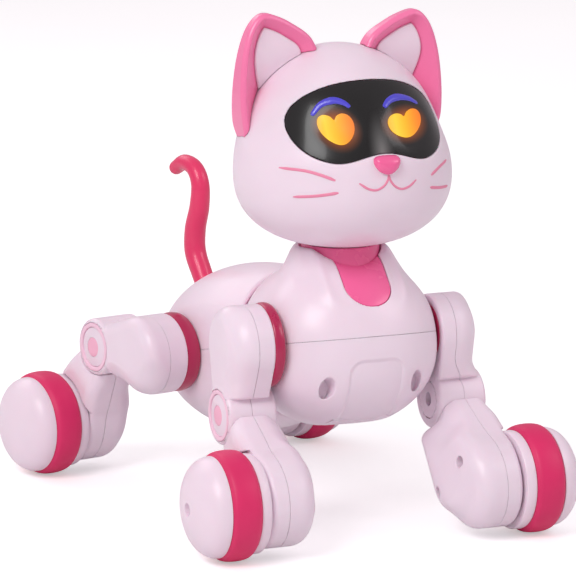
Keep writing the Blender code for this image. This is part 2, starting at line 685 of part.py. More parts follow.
def build_wheel(leg, side, wheel):
    """Domed hub with its inner rim and axle, and the tyre that sits in its groove."""
    dome_count = 4
    edge_r = 0.0228
    recess_r = 0.0032
    dome = []
    for i in range(dome_count + 1):
        turn = math.pi / 2 * i / dome_count
        radius = recess_r + (edge_r - recess_r) * math.sin(turn)
        dome.append((TYRE_OUT_X + (HUB_TIP_X - TYRE_OUT_X) * math.cos(turn), radius))
    profile = [(HUB_TIP_X - 0.0035, 0.0), (HUB_TIP_X - 0.0035, recess_r)] + dome
    profile += [(TYRE_OUT_X, TYRE_SEAT_R), (TYRE_IN_X, TYRE_SEAT_R), (TYRE_IN_X, 0.0225),
                (HUB_IN_X, 0.0225), (HUB_IN_X, AXLE_R), (0.0540, AXLE_R), (0.0540, 0.0)]
    turned(leg + "_wheel_hub", profile, wheel, "shell", side)
    inside = TYRE_SEAT_R + GAP
    tread = [(TYRE_OUT_X - GAP, inside), (TYRE_OUT_X - GAP, edge_r), (0.0760, WHEEL_R),
             (0.0713, WHEEL_R), (TYRE_IN_X + GAP, edge_r), (TYRE_IN_X + GAP, inside)]
    turned(leg + "_tyre", tread, wheel, "tyre_pink", side, steps=20, closed=True)


def build_leg(leg, parent, parent_y, axis, disc_x, driven):
    """One leg: hip disc, thigh, knee, shank with its foot, and the wheel."""
    side = -1 if leg.endswith("right") else 1
    thigh_angle, shank_angle = leg_angles(axis, WHEEL_Y[leg])
    hip = frame(leg + "_hip_axis", (0.0, axis.y - parent_y, axis.z), (thigh_angle, 0, 0), parent)
    knee = frame(leg + "_knee_axis", (0, 0, -THIGH_LENGTH), (shank_angle - thigh_angle, 0, 0), hip)
    wheel = frame(leg + "_wheel_axis", (0, 0, -SHANK_LENGTH), (-shank_angle, 0, 0), knee)
    disc = [(0.0447, 0.0), (0.0447, HIP_DISC_R), (disc_x, HIP_DISC_R), (disc_x, 0.0050),
            (disc_x - 0.0085, 0.0050), (disc_x - 0.0085, 0.0)]
    turned(leg + "_hip_disc", disc, hip, "deep_pink", side)
    build_thigh(leg, side, hip)
    build_shank(leg, side, knee)
    cap = [(0.0632, 0.0), (0.0632, CAP_R), (0.0618, CAP_R), (0.0618, KNEE_SHAFT_R), (0.0415, KNEE_SHAFT_R),
           (0.0415, 0.0)]
    turned(leg + "_knee_cap", cap, knee, "pale_pink", side)
    build_wheel(leg, side, wheel)
    if driven:
        motor = moved(rod(0.0120, side * 0.0440, side * 0.0500, "X", 16), (0, 0, -SHANK_LENGTH))
        motor = add_piece(leg + "_wheel_motor", motor, knee, "steel")
        case = across(side, 0.0497, 0.0535, (-0.0140, -0.0600), (0.0140, -0.0380))
        boolean(motor, add_cutter(leg + "_motor_gearcase", case, knee), "UNION")


def build_toy():
    """Place the frames and build every piece."""
    chassis = frame("chassis", CHASSIS)
    chest_frame = frame("chest_frame", SHOULDER, (-BODY_PITCH, 0, 0), chassis)
    swing = frame("waist_axis", (0, WAIST_Y, 0), (0, 0, RUMP_SWING), chassis)
    rump_frame = frame("rump_frame", SHOULDER - Vector((0, WAIST_Y, 0)), (-BODY_PITCH, 0, 0), swing)
    head = frame("head_axis", (0, NECK_AXIS_Y, 0), (0, 0, 0), chassis)
    build_chest(chest_frame)
    build_neck(chest_frame, chassis)
    build_waist(chest_frame, chassis)
    build_insides(chest_frame)
    build_rump(rump_frame, swing)
    build_tail(rump_frame)
    build_head(head)
    build_ear(head, -1, "right")
    build_ear(head, 1, "left")
    for leg in ("front_right", "front_left"):
        build_leg(leg, chassis, 0.0, SHOULDER, 0.0391, False)
    for leg in ("rear_right", "rear_left"):
        build_leg(leg, swing, WAIST_Y, HIP, 0.0343, True)


build_toy()
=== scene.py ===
"""Looks of the robot cat toy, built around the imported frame.

Skins are carved from distance fields in millimetres, negative inside, and meshed on a grid. The chest and the
rump are measured from their hip axes, and the head from the floor under its turning axis. A leg's parts are
measured outward along u from the middle of the toy, with y and z across the hip, knee or wheel axis.
"""
import json
import math

import bpy
import numpy as np
from mathutils import Matrix, Vector


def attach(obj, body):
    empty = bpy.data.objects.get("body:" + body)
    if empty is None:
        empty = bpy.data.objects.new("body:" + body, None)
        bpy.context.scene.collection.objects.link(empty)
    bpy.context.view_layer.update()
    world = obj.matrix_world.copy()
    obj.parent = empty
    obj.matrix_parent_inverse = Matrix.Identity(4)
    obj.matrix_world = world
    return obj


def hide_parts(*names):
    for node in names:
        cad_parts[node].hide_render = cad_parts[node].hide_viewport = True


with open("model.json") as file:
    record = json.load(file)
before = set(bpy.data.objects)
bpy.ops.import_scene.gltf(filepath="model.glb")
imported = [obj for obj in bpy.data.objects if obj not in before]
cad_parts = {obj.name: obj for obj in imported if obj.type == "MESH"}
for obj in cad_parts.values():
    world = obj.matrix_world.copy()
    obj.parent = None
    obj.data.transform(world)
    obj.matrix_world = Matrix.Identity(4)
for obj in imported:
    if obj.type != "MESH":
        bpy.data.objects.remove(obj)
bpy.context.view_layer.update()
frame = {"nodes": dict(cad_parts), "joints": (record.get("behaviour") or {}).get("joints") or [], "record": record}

MM = 0.001
JOINTS = {joint["name"]: joint for joint in frame["joints"]}
LEGS = ("front_right", "front_left", "rear_right", "rear_left")
SEAM = 0.05  # half the gap between two half shells
WALL = 2.0  # of the body and head shells
LEG_WALL = 1.7
EDGE = 0.12  # rounding of an edge at such a gap


# --- Frames ---

def spot(name):
    """Where a joint is, in metres."""
    return Vector(JOINTS[name]["pos_m"])


def placed(origin, sideways, up):
    """Matrix from a piece's own millimetres to the row frame."""
    x = Vector(sideways).normalized()
    z = Vector(up)
    z = (z - z.dot(x) * x).normalized()
    y = z.cross(x) if x.x > 0 else x.cross(z)
    turn = Matrix((x, y, z)).transposed().to_4x4()
    return Matrix.Translation(origin) @ turn @ Matrix.Scale(MM, 4)


def chest_frame():
    """Chest frame: from the shoulder axis, up the normal of the belly pad."""
    up = -Vector(frame["record"]["mounts"][0]["axis"])
    return placed(spot("front_right_hip"), (1, 0, 0), up)


def rump_frame():
    """The chest frame carried round the waist axis by the angle that the rear hips show."""
    axis = JOINTS["rear_right_hip"]["axis"]
    turn = Matrix.Rotation(math.atan2(axis[1], axis[0]), 4, "Z")
    waist = Matrix.Translation(spot("waist_swing"))
    return waist @ turn @ waist.inverted() @ chest_frame()


def leg_frames(leg):
    """Thigh, shank and wheel frames of a leg, with the first axis pointing outward."""
    side = -1.0 if leg.endswith("right") else 1.0
    hip, knee, wheel = (spot(leg + part) for part in ("_hip", "_knee", "_wheel_spin"))
    out = Vector(JOINTS[leg + "_hip"]["axis"]) * side
    return placed(hip, out, hip - knee), placed(knee, out, knee - wheel), placed(wheel, out, (0, 0, 1))


CHEST = chest_frame()
RUMP = rump_frame()
HEAD = Matrix.Translation((spot("head_turn").x, spot("head_turn").y, 0)) @ Matrix.Scale(MM, 4)
THIGH_LENGTH = (spot("front_right_hip") - spot("front_right_knee")).length / MM
SHANK_LENGTH = (spot("front_right_knee") - spot("front_right_wheel_spin")).length / MM


# --- Field arithmetic ---

def both(a, b, r):
    """Common part of two solids, its edge rounded to radius r."""
    a = a + r
    b = b + r
    return np.minimum(np.maximum(a, b), 0) + np.hypot(np.maximum(a, 0), np.maximum(b, 0)) - r


def either(a, b, r):
    """Two solids joined, with a fillet of radius r."""
    return -both(-a, -b, r)


def without(a, b, r):
    """The first solid with the second cut away, its edge rounded to radius r."""
    return both(a, -b, r)


def ease(low, high, t):
    """Smooth step from 0 to 1."""
    t = np.clip((t - low) / (high - low), 0, 1)
    return t * t * (3 - 2 * t)


def slab(u, low, high):
    """Distance to the space between two parallel planes."""
    return np.abs(u - (low + high) / 2) - (high - low) / 2


def teardrop(y, z, top_r, low_r, drop):
    """Outline of two circles, the second a drop below the first, and their tangents."""
    y = np.abs(y)
    lean = (top_r - low_r) / drop
    rise = math.sqrt(1 - lean * lean)
    along = -lean * y - rise * z
    beside = rise * y - lean * z - top_r
    low = np.hypot(y, z + drop) - low_r
    return np.where(along < 0, np.hypot(y, z) - top_r, np.where(along > rise * drop, low, beside))


def outline_distance(x, z, points):
    """Signed distance to a closed outline of (x, z) points."""
    x, z = np.broadcast_arrays(x, z)
    nearest = np.full(x.shape, 1e9)
    inside = np.zeros(x.shape, bool)
    for (ax, az), (bx, bz) in zip(points, points[1:] + points[:1]):
        ex, ez = bx - ax, bz - az
        t = np.clip(((x - ax) * ex + (z - az) * ez) / (ex * ex + ez * ez), 0, 1)
        nearest = np.minimum(nearest, (x - ax - t * ex) ** 2 + (z - az - t * ez) ** 2)
        spans = (az <= z) != (bz <= z)
        if abs(ez) > 1e-9:
            inside ^= spans & (x < ax + (z - az) / ez * ex)
    return np.where(inside, -1, 1) * np.sqrt(nearest)


def curve_point(a, b, c, d, t):
    """Point between b and c on the Catmull-Rom curve through all four."""
    run = (c - a) * t
    bend = (2 * a - 5 * b + 4 * c - d) * t * t
    twist = (3 * b - a - 3 * c + d) * t ** 3
    return 0.5 * (2 * b + run + bend + twist)


def smooth_loop(points, share=6):
    """Closed Catmull-Rom curve through points."""
    p = np.array(points, float)
    corners = zip(np.roll(p, 1, 0), p, np.roll(p, -1, 0), np.roll(p, -2, 0))
    return [tuple(curve_point(*corner, t)) for corner in corners for t in np.arange(share) / share]


def spline(points, count):
    """Open Catmull-Rom curve through points, evenly sampled."""
    p = np.array(points, float)
    p = np.vstack((2 * p[0] - p[1], p, 2 * p[-1] - p[-2]))
    marks = np.linspace(0, len(p) - 3 - 1e-9, count)
    return np.array([curve_point(*p[int(s):int(s) + 4], s - int(s)) for s in marks])


# --- Meshing ---

CORNERS = [(i, j, k) for i in (0, 1) for j in (0, 1) for k in (0, 1)]
CELL_EDGES = [(a, b) for a in range(8) for b in range(a + 1, 8)
              if sum(p != q for p, q in zip(CORNERS[a], CORNERS[b])) == 1]
PROBE = 0.02  # step for slopes
ROUNDS = 3  # of moving the points onto the surface
STRIDE = 0.4  # the furthest a point moves in a round
SHARP = math.radians(38)


def ruler(low, high, step, fine=()):
    """Grid lines from low to high, closer together inside each (from, to, step) of fine."""
    marks = [low]
    while marks[-1] < high:
        here = marks[-1]
        stride = min([step] + [s for a, b, s in fine if a - step <= here < b])
        marks.append(here + stride)
    return np.array(marks)


def net_points(values, rulers):
    """One point in each grid cell that the surface crosses, and the cells' indices."""
    inside = values < 0
    shape = tuple(n - 1 for n in values.shape)
    count = np.zeros(shape, np.int8)
    for c in CORNERS:
        count += inside[tuple(slice(o, o + n) for o, n in zip(c, shape))]
    cells = np.argwhere((count > 0) & (count < 8))
    level = [values[tuple((cells + c).T)] for c in CORNERS]
    place = [np.stack([r[cells[:, a] + c[a]] for a, r in enumerate(rulers)], 1) for c in CORNERS]
    total = np.zeros((len(cells), 3))
    hits = np.zeros(len(cells))
    for a, b in CELL_EDGES:
        crossed = (level[a] < 0) != (level[b] < 0)
        t = level[a] / np.where(crossed, level[a] - level[b], 1.0)
        total += crossed[:, None] * (place[a] + (place[b] - place[a]) * t[:, None])
        hits += crossed
    return inside, cells, total / hits[:, None]


def net_faces(inside, cells):
    """Quads that join the points around each grid edge that the surface crosses."""
    number = np.full(tuple(n - 1 for n in inside.shape), -1, np.int64)
    number[tuple(cells.T)] = np.arange(len(cells))
    quads = []
    for axis in range(3):
        u, v = (axis + 1) % 3, (axis + 2) % 3
        first, second = [slice(1, -1)] * 3, [slice(1, -1)] * 3
        first[axis], second[axis] = slice(0, -1), slice(1, None)
        starts = inside[tuple(first)]
        at = np.argwhere(starts != inside[tuple(second)])
        outward = starts[tuple(at.T)]
        ring = []
        for du, dv in ((0, 0), (1, 0), (1, 1), (0, 1)):
            index = at.copy()
            index[:, u] += du
            index[:, v] += dv
            ring.append(number[tuple(index.T)])
        ring = np.stack(ring, 1)
        quads.append(np.where(outward[:, None], ring, ring[:, ::-1]))
    return np.concatenate(quads)


def slope(field, p):
    """Value and gradient of a field at points."""
    gradient = np.zeros_like(p)
    for a in range(3):
        for sign in (-1, 1):
            q = p.copy()
            q[:, a] += sign * PROBE
            gradient[:, a] += sign * field(q[:, 0], q[:, 1], q[:, 2]) / (2 * PROBE)
    return field(p[:, 0], p[:, 1], p[:, 2]), gradient


def carve(field, rulers):
    """Points, quads and normals of the surface where a field is zero."""
    grid = np.ix_(*rulers)
    values = np.broadcast_to(field(*grid), tuple(len(r) for r in rulers))
    inside, cells, p = net_points(values, rulers)
    quads = net_faces(inside, cells)
    for _ in range(ROUNDS):
        f, g = slope(field, p)
        move = -(f / np.maximum((g * g).sum(1), 1e-6))[:, None] * g
        length = np.maximum(np.linalg.norm(move, axis=1), 1e-9)
        p = p + move * np.minimum(1.0, STRIDE / length)[:, None]
    g = slope(field, p)[1]
    return p, quads.tolist(), g / np.maximum(np.linalg.norm(g, axis=1), 1e-9)[:, None]


def linked(name, data):
    """New object in the scene."""
    obj = bpy.data.objects.new(name, data)
    bpy.context.scene.collection.objects.link(obj)
    return obj


def mesh_piece(name, points, faces, place, body, look, replaced=(), normals=None):
    """Make an object from points in millimetres, on a CAD body, standing for CAD nodes."""
    turn = np.array(place.to_3x3())
    world = np.asarray(points, float) @ turn.T + np.array(place.translation)
    order = -1 if place.to_3x3().determinant() < 0 else 1
    mesh = bpy.data.meshes.new(name)
    mesh.from_pydata(world.tolist(), [], [tuple(f)[::order] for f in faces])
    mesh.update()
    mesh.shade_smooth()
    if normals is None:
        mesh.set_sharp_from_angle(angle=SHARP)
    else:
        mesh.normals_split_custom_set_from_vertices((normals @ turn.T / MM).tolist())
    mesh.materials.append(LOOKS[look])
    obj = linked(name, mesh)
    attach(obj, body)
    if replaced:
        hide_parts(*replaced)


def skin_piece(node, points, faces, place, body, look, normals=None):
    """Make the skin that stands for one CAD node."""
    mesh_piece(node.replace("_shell", "") + "_skin", points, faces, place, body, look, [node], normals)


def carved_skin(node, field, spans, place, body, look):
    """Make the skin of one CAD node from its field, over a grid of three spans."""
    points, quads, normals = carve(field, [ruler(*each) for each in spans])
    skin_piece(node, points, quads, place, body, look, normals)


def lathe(profile, steps=96):
    """Points and faces of a (u, radius) profile, outer end first, turned about the u axis."""
    turn = np.arange(steps) * 2 * math.pi / steps
    points, rows = [], []
    for u, r in profile:
        if r < 1e-6:
            rows.append([len(points)])
            points.append((u, 0.0, 0.0))
        else:
            rows.append(list(range(len(points), len(points) + steps)))
            points += [(u, r * math.cos(a), r * math.sin(a)) for a in turn]
    faces = []
    for upper, lower in zip(rows, rows[1:]):
        for i in range(steps):
            j = (i + 1) % steps
            ring = upper[i % len(upper)], lower[i % len(lower)], lower[j % len(lower)], upper[j % len(upper)]
            ring = list(dict.fromkeys(ring))
            if len(ring) > 2:
                faces.append(ring)
    return points, faces


def rounded(profile, radius, share=4):
    """Profile with each inner corner replaced by an arc-like curve."""
    p = [Vector(q) for q in profile]
    out = [tuple(p[0])]
    for before, here, after in zip(p, p[1:], p[2:]):
        back, ahead = before - here, after - here
        reach = min(radius, back.length * 0.48, ahead.length * 0.48)
        start = here + back.normalized() * reach
        end = here + ahead.normalized() * reach
        for i in range(share + 1):
            t = i / share
            out.append(tuple(start * (1 - t) ** 2 + here * 2 * t * (1 - t) + end * t * t))
    return out + [tuple(p[-1])]


def tube(rings, first, last):
    """Points and faces of a closed tube: a first point, rings of points and a last point."""
    points = np.vstack(([first], *rings, [last]))
    sides, end = len(rings[0]), len(points) - 1
    faces = []
    for i in range(sides):
        j = (i + 1) % sides
        faces.append((0, 1 + j, 1 + i))
        faces.append((end, end - sides + i, end - sides + j))
        for a in range(1, end - sides, sides):
            faces.append((a + i, a + j, a + sides + j, a + sides + i))
    return points, faces


def sweep(path, radii, sides, normal, squash=1.0):
    """Round-ended tube along a path, flattened along its normals."""
    ahead = np.gradient(path, axis=0)
    ahead /= np.linalg.norm(ahead, axis=1)[:, None]
    up = normal - (normal * ahead).sum(1)[:, None] * ahead
    up /= np.linalg.norm(up, axis=1)[:, None]
    side = np.cross(ahead, up)
    turn = (np.arange(sides) * 2 * math.pi / sides)[:, None]
    rings = [at + r * (np.cos(turn) * s + squash * np.sin(turn) * u)
             for at, r, s, u in zip(path, radii, side, up)]
    return tube(rings, path[0], path[-1])


# --- Materials ---

def new_look(name):
    """Empty node material with its Principled shader."""
    made = bpy.data.materials.new(name)
    made.use_nodes = True
    return made, made.node_tree, made.node_tree.nodes["Principled BSDF"]


def noise(tree, scale, detail=3.0, stretch=None):
    """Noise texture in object coordinates."""
    coordinates = tree.nodes.new("ShaderNodeTexCoord")
    texture = tree.nodes.new("ShaderNodeTexNoise")
    texture.inputs["Scale"].default_value = scale
    texture.inputs["Detail"].default_value = detail
    source = coordinates.outputs["Object"]
    if stretch:
        mapping = tree.nodes.new("ShaderNodeMapping")
        mapping.inputs["Scale"].default_value = stretch
        tree.links.new(source, mapping.inputs["Vector"])
        source = mapping.outputs["Vector"]
    tree.links.new(source, texture.inputs["Vector"])
    return texture.outputs["Fac"]


def ramp(tree, source, stops):
    """Colour ramp with (position, colour) stops."""
    node = tree.nodes.new("ShaderNodeValToRGB")
    element = node.color_ramp.elements
    element[0].position, element[0].color = stops[0][0], (*stops[0][1], 1.0)
    element[1].position, element[1].color = stops[-1][0], (*stops[-1][1], 1.0)
    for position, colour in stops[1:-1]:
        element.new(position).color = (*colour, 1.0)
    tree.links.new(source, node.inputs["Fac"])
    return node.outputs["Color"]


def span(tree, source, low, high):
    """Map a 0 to 1 value onto a range."""
    node = tree.nodes.new("ShaderNodeMapRange")
    node.inputs["To Min"].default_value = low
    node.inputs["To Max"].default_value = high
    tree.links.new(source, node.inputs["Value"])
    return node.outputs["Result"]


def bump(tree, shader, source, height, strength):
    """Bump of a height in metres on a shader."""
    node = tree.nodes.new("ShaderNodeBump")
    node.inputs["Strength"].default_value = strength
    node.inputs["Distance"].default_value = height
    tree.links.new(source, node.inputs["Height"])
    tree.links.new(node.outputs["Normal"], shader.inputs["Normal"])


def feed(tree, shader, values):
    """Set a shader's inputs to numbers, colours or other nodes' outputs."""
    for name, value in values.items():
        if isinstance(value, bpy.types.NodeSocket):
            tree.links.new(value, shader.inputs[name])
        else:
            shader.inputs[name].default_value = value


def tone(colour, factor):
    """A colour made lighter or darker."""
    return tuple(min(1.0, c * factor) for c in colour)


def moulded(name, colour, rough=0.34, coat=0.0, soft=0.0):
    """Injection-moulded plastic: faint flow clouds, a fine satin grain and patches of polish."""
    made, tree, shader = new_look(name)
    feed(tree, shader, {
        "Base Color": ramp(tree, noise(tree, 22.0), [(0.30, tone(colour, 0.97)), (0.70, tone(colour, 1.03))]),
        "Roughness": span(tree, noise(tree, 70.0, 4.0), rough - 0.05, rough + 0.06),
        "Coat Weight": coat, "Coat Roughness": 0.12,
        "Subsurface Weight": soft, "Subsurface Radius": (1.0, 0.45, 0.6), "Subsurface Scale": 0.003})
    bump(tree, shader, noise(tree, 2600.0, 2.0), 0.00002, 0.5)
    return made


def rubber(name, colour):
    """Matt tyre rubber with a fine grain."""
    made, tree, shader = new_look(name)
    stops = [(0.3, tone(colour, 0.94)), (0.7, tone(colour, 1.05))]
    feed(tree, shader, {"Base Color": ramp(tree, noise(tree, 35.0, 4.0), stops),
                        "Roughness": span(tree, noise(tree, 160.0), 0.42, 0.56)})
    bump(tree, shader, noise(tree, 1800.0), 0.00004, 0.6)
    return made


def metal(name, colour, rough):
    """Drawn metal with fine streaks."""
    made, tree, shader = new_look(name)
    streaks = noise(tree, 300.0, 3.0, (1.0, 0.06, 1.0))
    feed(tree, shader, {"Base Color": ramp(tree, streaks, [(0.3, tone(colour, 0.88)), (0.7, colour)]),
                        "Roughness": span(tree, streaks, rough - 0.07, rough + 0.10),
                        "Metallic": 1.0})
    return made


def math_node(tree, operation, *values):
    """Math node whose inputs are numbers or other nodes' outputs."""
    node = tree.nodes.new("ShaderNodeMath")
    node.operation = operation
    for socket, value in zip(node.inputs, values):
        if isinstance(value, (int, float)):
            socket.default_value = value
        else:
            tree.links.new(value, socket)
    return node.outputs["Value"]


def place_sockets(tree):
    """X and Z of the shaded point."""
    coordinates = tree.nodes.new("ShaderNodeTexCoord")
    split = tree.nodes.new("ShaderNodeSeparateXYZ")
    tree.links.new(coordinates.outputs["Object"], split.inputs["Vector"])
    return split.outputs["X"], split.outputs["Z"]


def fade(tree, x, z, centre, half, high):
    """One at a place on the visor, falling to nothing at an oval round it."""
    squares = 0.0
    for along, middle, reach in ((x, HEAD.translation.x + centre[0] * MM, half), (z, centre[1] * MM, high)):
        share = math_node(tree, "DIVIDE", math_node(tree, "SUBTRACT", along, middle), reach * MM)
        squares = math_node(tree, "ADD", squares, math_node(tree, "MULTIPLY", share, share))
    left = math_node(tree, "SUBTRACT", 1.0, math_node(tree, "SQRT", squares))
    return math_node(tree, "POWER", math_node(tree, "MAXIMUM", left, 0.0), 1.5)


def smoked_visor():
    """Deep gloss smoked plastic with a painted highlight down the bridge over the nose, lit orange round each
    heart.
    """
    made, tree, shader = new_look("smoked_visor")
    x, z = place_sockets(tree)
    clouds = math_node(tree, "MULTIPLY", noise(tree, 40.0), 0.04)
    # Base colour turns paler down the nose bridge as a painted highlight, with faint random clouds in the tone.
    painted_highlight_and_clouds = math_node(tree, "ADD", fade(tree, x, z, (-1.5, 180.0), 6.5, 19.0), clouds)
    glow = 0.0
    for _, centre, size, _ in HEARTS:
        glow = math_node(tree, "ADD", glow, fade(tree, x, z, centre, size[0] * 0.74, size[1] * 0.80))
    feed(tree, shader, {
        "Base Color": ramp(tree, painted_highlight_and_clouds, [(0.0, (0.007, 0.007, 0.007)), (1.0, (0.20, 0.20, 0.195))]),
        "Emission Color": (1.0, 0.22, 0.02, 1.0), "Emission Strength": math_node(tree, "MULTIPLY", glow, 0.8),
        "Roughness": span(tree, noise(tree, 14.0), 0.24, 0.30), "Specular IOR Level": 0.30,
        "Coat Weight": 0.22, "Coat Roughness": 0.10})
    return made


# Each heart's side, centre, size and tilt.
HEARTS = (("right", (-18.9, 190.7), (14.4, 13.1), 0.10), ("left", (13.8, 191.5), (20.6, 11.1), 0.08))

LOOKS = {
    "shell": moulded("shell_plastic", (0.875, 0.735, 0.825), 0.32, soft=0.2),
    "pink": moulded("pink_plastic", (0.92, 0.13, 0.34), 0.26, coat=0.3),
    "ear_pink": moulded("ear_pink_plastic", (0.93, 0.20, 0.41), 0.30, coat=0.3),
    "deep": moulded("deep_pink_plastic", (0.44, 0.010, 0.075), 0.28, coat=0.2),
    "pale": moulded("pale_pink_plastic", (0.88, 0.42, 0.58), 0.38),
    "ring": moulded("knee_ring_plastic", (0.92, 0.62, 0.75), 0.36),
    "dot": moulded("knee_dot_plastic", (0.92, 0.47, 0.62), 0.38),
    "line": moulded("face_line_paint", (0.84, 0.26, 0.40), 0.45),
    "tail": moulded("tail_vinyl", (0.78, 0.030, 0.130), 0.36, coat=0.25),
    "tyre": rubber("tyre_rubber", (0.72, 0.016, 0.125)),
    "visor": smoked_visor(),
    "grey": moulded("gearbox_plastic", (0.17, 0.17, 0.19), 0.50),
    "board": moulded("circuit_board", (0.02, 0.16, 0.06), 0.40, coat=0.4),
    "battery": moulded("battery_wrap", (0.04, 0.10, 0.33), 0.30, coat=0.5),
    "steel": metal("motor_steel", (0.55, 0.55, 0.56), 0.28),
    "brow": moulded("brow_light", (0.06, 0.05, 0.62), 0.30, coat=0.6),
}


# --- Body ---

HEAD_Z = 166.0  # height of the middle of the head
HEAD_HALF, HEAD_FRONT, HEAD_BACK, HEAD_UP, HEAD_DOWN = 50.3, 50.5, 46.0, 57.5, 34.4
LOW_POWER = 2.35  # roundness of the head below its middle
CHEST_SIZE = {"half": 43.1, "front": 38.0, "back": 66.0, "up": 40.2, "down": 38.2, "power": 2.1}
CHEST_CENTRE = (5.2, -2.5)  # (y, z)
CHEST_FLAT = 38.8
CHEST_RIM = 50.0
BELLY_FLAT = -39.2
RUMP_SIZE = {"half": 39.0, "front": 70.0, "back": 62.3, "up": 38.2, "down": 42.2, "power": 2.0}
RUMP_CENTRE = (100.6, -0.2)
RUMP_FLAT = 34.0
RUMP_MOUTH = 68.0
RUMP_HIP_Y = 117.0
SHAFT_ROOM = 6.0  # radius of the openings for the hip shafts
NECK_Y = 1.6
NECK_R = 18.0
MANTLE_R = 20.5  # the mantle round the neck is highest here
MANTLE_RISE = 9.4
LAPEL_RISE = 1.3  # the ridge either side of the bib
BIB_X = 0.8
BIB_R = 11.5
BIB_SLOPE = math.radians(46.2)
BIB_FROM = (0.9, -1.0)  # (y, z) that the slope is measured from
BIB_DROP = 0.8
BIB_SUNK = 0.45
CHEST_WEB = (46.4, 48.4)  # y of the web behind the chest, round the waist sleeve
BATTERY_LID = ((-15.0, 15.0), (-8.0, 24.0), -20.0)  # x, y and top of the opening for the battery cover
WELL = {"x": 22.0, "y": -21.5, "z": -21.6, "half": 3.1, "high": 4.7, "deep": 6.5}
PANEL = ((-13.0, 13.4), (-40.0, -10.8))  # x and z of the sunk panel low on the chest
SLEEVE_R = 27.8
SLEEVE_SQUASH = 0.96  # the waist sleeve is this much narrower than high
SLEEVE = ((77.0, 25.4), (77.0, 30.4), (70.5, 29.0), (64.0, 27.8), (57.0, 27.5), (46.0, SLEEVE_R), (46.0, 8.2),
          (47.0, 8.2), (47.0, 25.4), (77.0, 25.4))  # (y, radius)
SEAM_BAND = (-0.6, 0.6, 0.12)  # the grid is this fine along the body's seams


def swollen(x, y, z, size, centre):
    """Ball with its own reach in each direction."""
    y = y - centre[0]
    z = z - centre[1]
    power = size["power"]
    along = np.where(y < 0, size["front"], size["back"])
    high = np.where(z > 0, size["up"], size["down"])
    reach = np.abs(x / size["half"]) ** power + np.abs(y / along) ** power + np.abs(z / high) ** power
    return (reach ** (1 / power) - 1) * size["half"]


def bib_frame(y, z):
    """Place on the bib's slope: how far down it, and how far out from it."""
    y = y - BIB_FROM[0]
    z = z - BIB_FROM[1]
    across = y * math.cos(BIB_SLOPE) + z * math.sin(BIB_SLOPE) - BIB_DROP
    return across, z * math.cos(BIB_SLOPE) - y * math.sin(BIB_SLOPE)


def beside_bib(x, across):
    """Distance from the bib's outline, looking square at the front of the chest."""
    return np.where(across > 0, np.abs(x - BIB_X), np.hypot(x - BIB_X, across)) - BIB_R


def tongue(x, y, z):
    """The space that the bib's outline sweeps, in front of the neck."""
    across, out = bib_frame(y, z)
    return np.maximum(np.maximum(beside_bib(x, across), 4.0 - out), y - NECK_Y)


def chest_skin(x, y, z):
    """Chest: a broad ball raised into a mantle round the neck, with flats at the shoulders and the belly."""
    behind = np.clip((y - CHEST_CENTRE[0]) / (CHEST_RIM - CHEST_CENTRE[0]), 0, 1.2)
    level = (z - 2.5 * behind) / (1 + np.where(z > 0, 0.06, 0.12) * behind)
    away = np.hypot(x, y - NECK_Y)
    forward = np.clip((NECK_Y - y) / np.maximum(away, 0.1), 0, 1)
    ridge = np.exp(-((away - MANTLE_R) / np.where(away > MANTLE_R, 6.0, 8.0)) ** 2)
    mantle = MANTLE_RISE * ridge * (1 - 0.8 * forward ** 2)
    beside = np.exp(-((beside_bib(x, bib_frame(y, z)[0]) - 7.5) / 2.6) ** 2)
    lapel = LAPEL_RISE * beside * ease(0.1, 0.6, forward) * ease(10, 24, level)
    ball = swollen(x, y, level - mantle * ease(0, 26, level), CHEST_SIZE, CHEST_CENTRE) - lapel
    return both(both(ball, np.abs(x) - CHEST_FLAT, 2.0), BELLY_FLAT - level, 1.5)


def rump_skin(x, y, z):
    """Rump: an egg with flats for the hips."""
    return both(swollen(x, y, z, RUMP_SIZE, RUMP_CENTRE), np.abs(x) - RUMP_FLAT, 2.5)


def shelled(skin, wall=WALL):
    """Keep only the wall of a solid."""
    return np.maximum(skin, -skin - wall)


def chest_wall(skin, x, y, z, wall):
    """Wall of the chest, with the web that closes it round the waist sleeve."""
    sleeve = np.hypot(x / SLEEVE_SQUASH, z) - SLEEVE_R
    web = np.maximum(np.maximum(slab(y, *CHEST_WEB), skin + 0.5), 0.4 - sleeve)
    return np.minimum(shelled(skin, wall), web)


def well(x, y, z, side):
    """Oval screw well that runs straight back into the lower chest."""
    oval = np.hypot((x - side * WELL["x"]) / WELL["half"], (z - WELL["z"]) / WELL["high"]) - 1
    return np.maximum(oval * WELL["half"], y - WELL["y"] - WELL["deep"])


def chest_low_skin(x, y, z):
    """Chest skin with its two screw wells and the panel sunk between them."""
    skin = chest_skin(x, y, z)
    panel = both(slab(x, *PANEL[0]), slab(z, *PANEL[1]), 6.0)
    skin = skin + 0.9 * ease(0.9, -0.9, panel) * ease(0, -8, y)
    for side in (-1, 1):
        skin = without(skin, well(x, y, z, side), 0.6)
    return skin


def battery_lid(x, y, z, gap, round_r):
    """The battery opening, less a gap all round."""
    across, along, top = BATTERY_LID
    lid = both(slab(x, *across) + gap, slab(y, *along) + gap, round_r)
    return np.maximum(lid, z - top)


def chest_upper(x, y, z):
    """Upper chest shell with its bib and neck openings."""
    solid = both(chest_wall(chest_skin(x, y, z), x, y, z, 4.5), SEAM - z, EDGE)
    solid = without(solid, tongue(x, y, z), 0.5)
    neck = np.maximum(np.hypot(x, y - NECK_Y) - NECK_R - 0.5, 8 - z)
    solid = without(solid, neck, 0.6)
    solid = np.maximum(solid, SHAFT_ROOM - np.hypot(y, z))
    return both(solid, y - CHEST_RIM, 0.8)


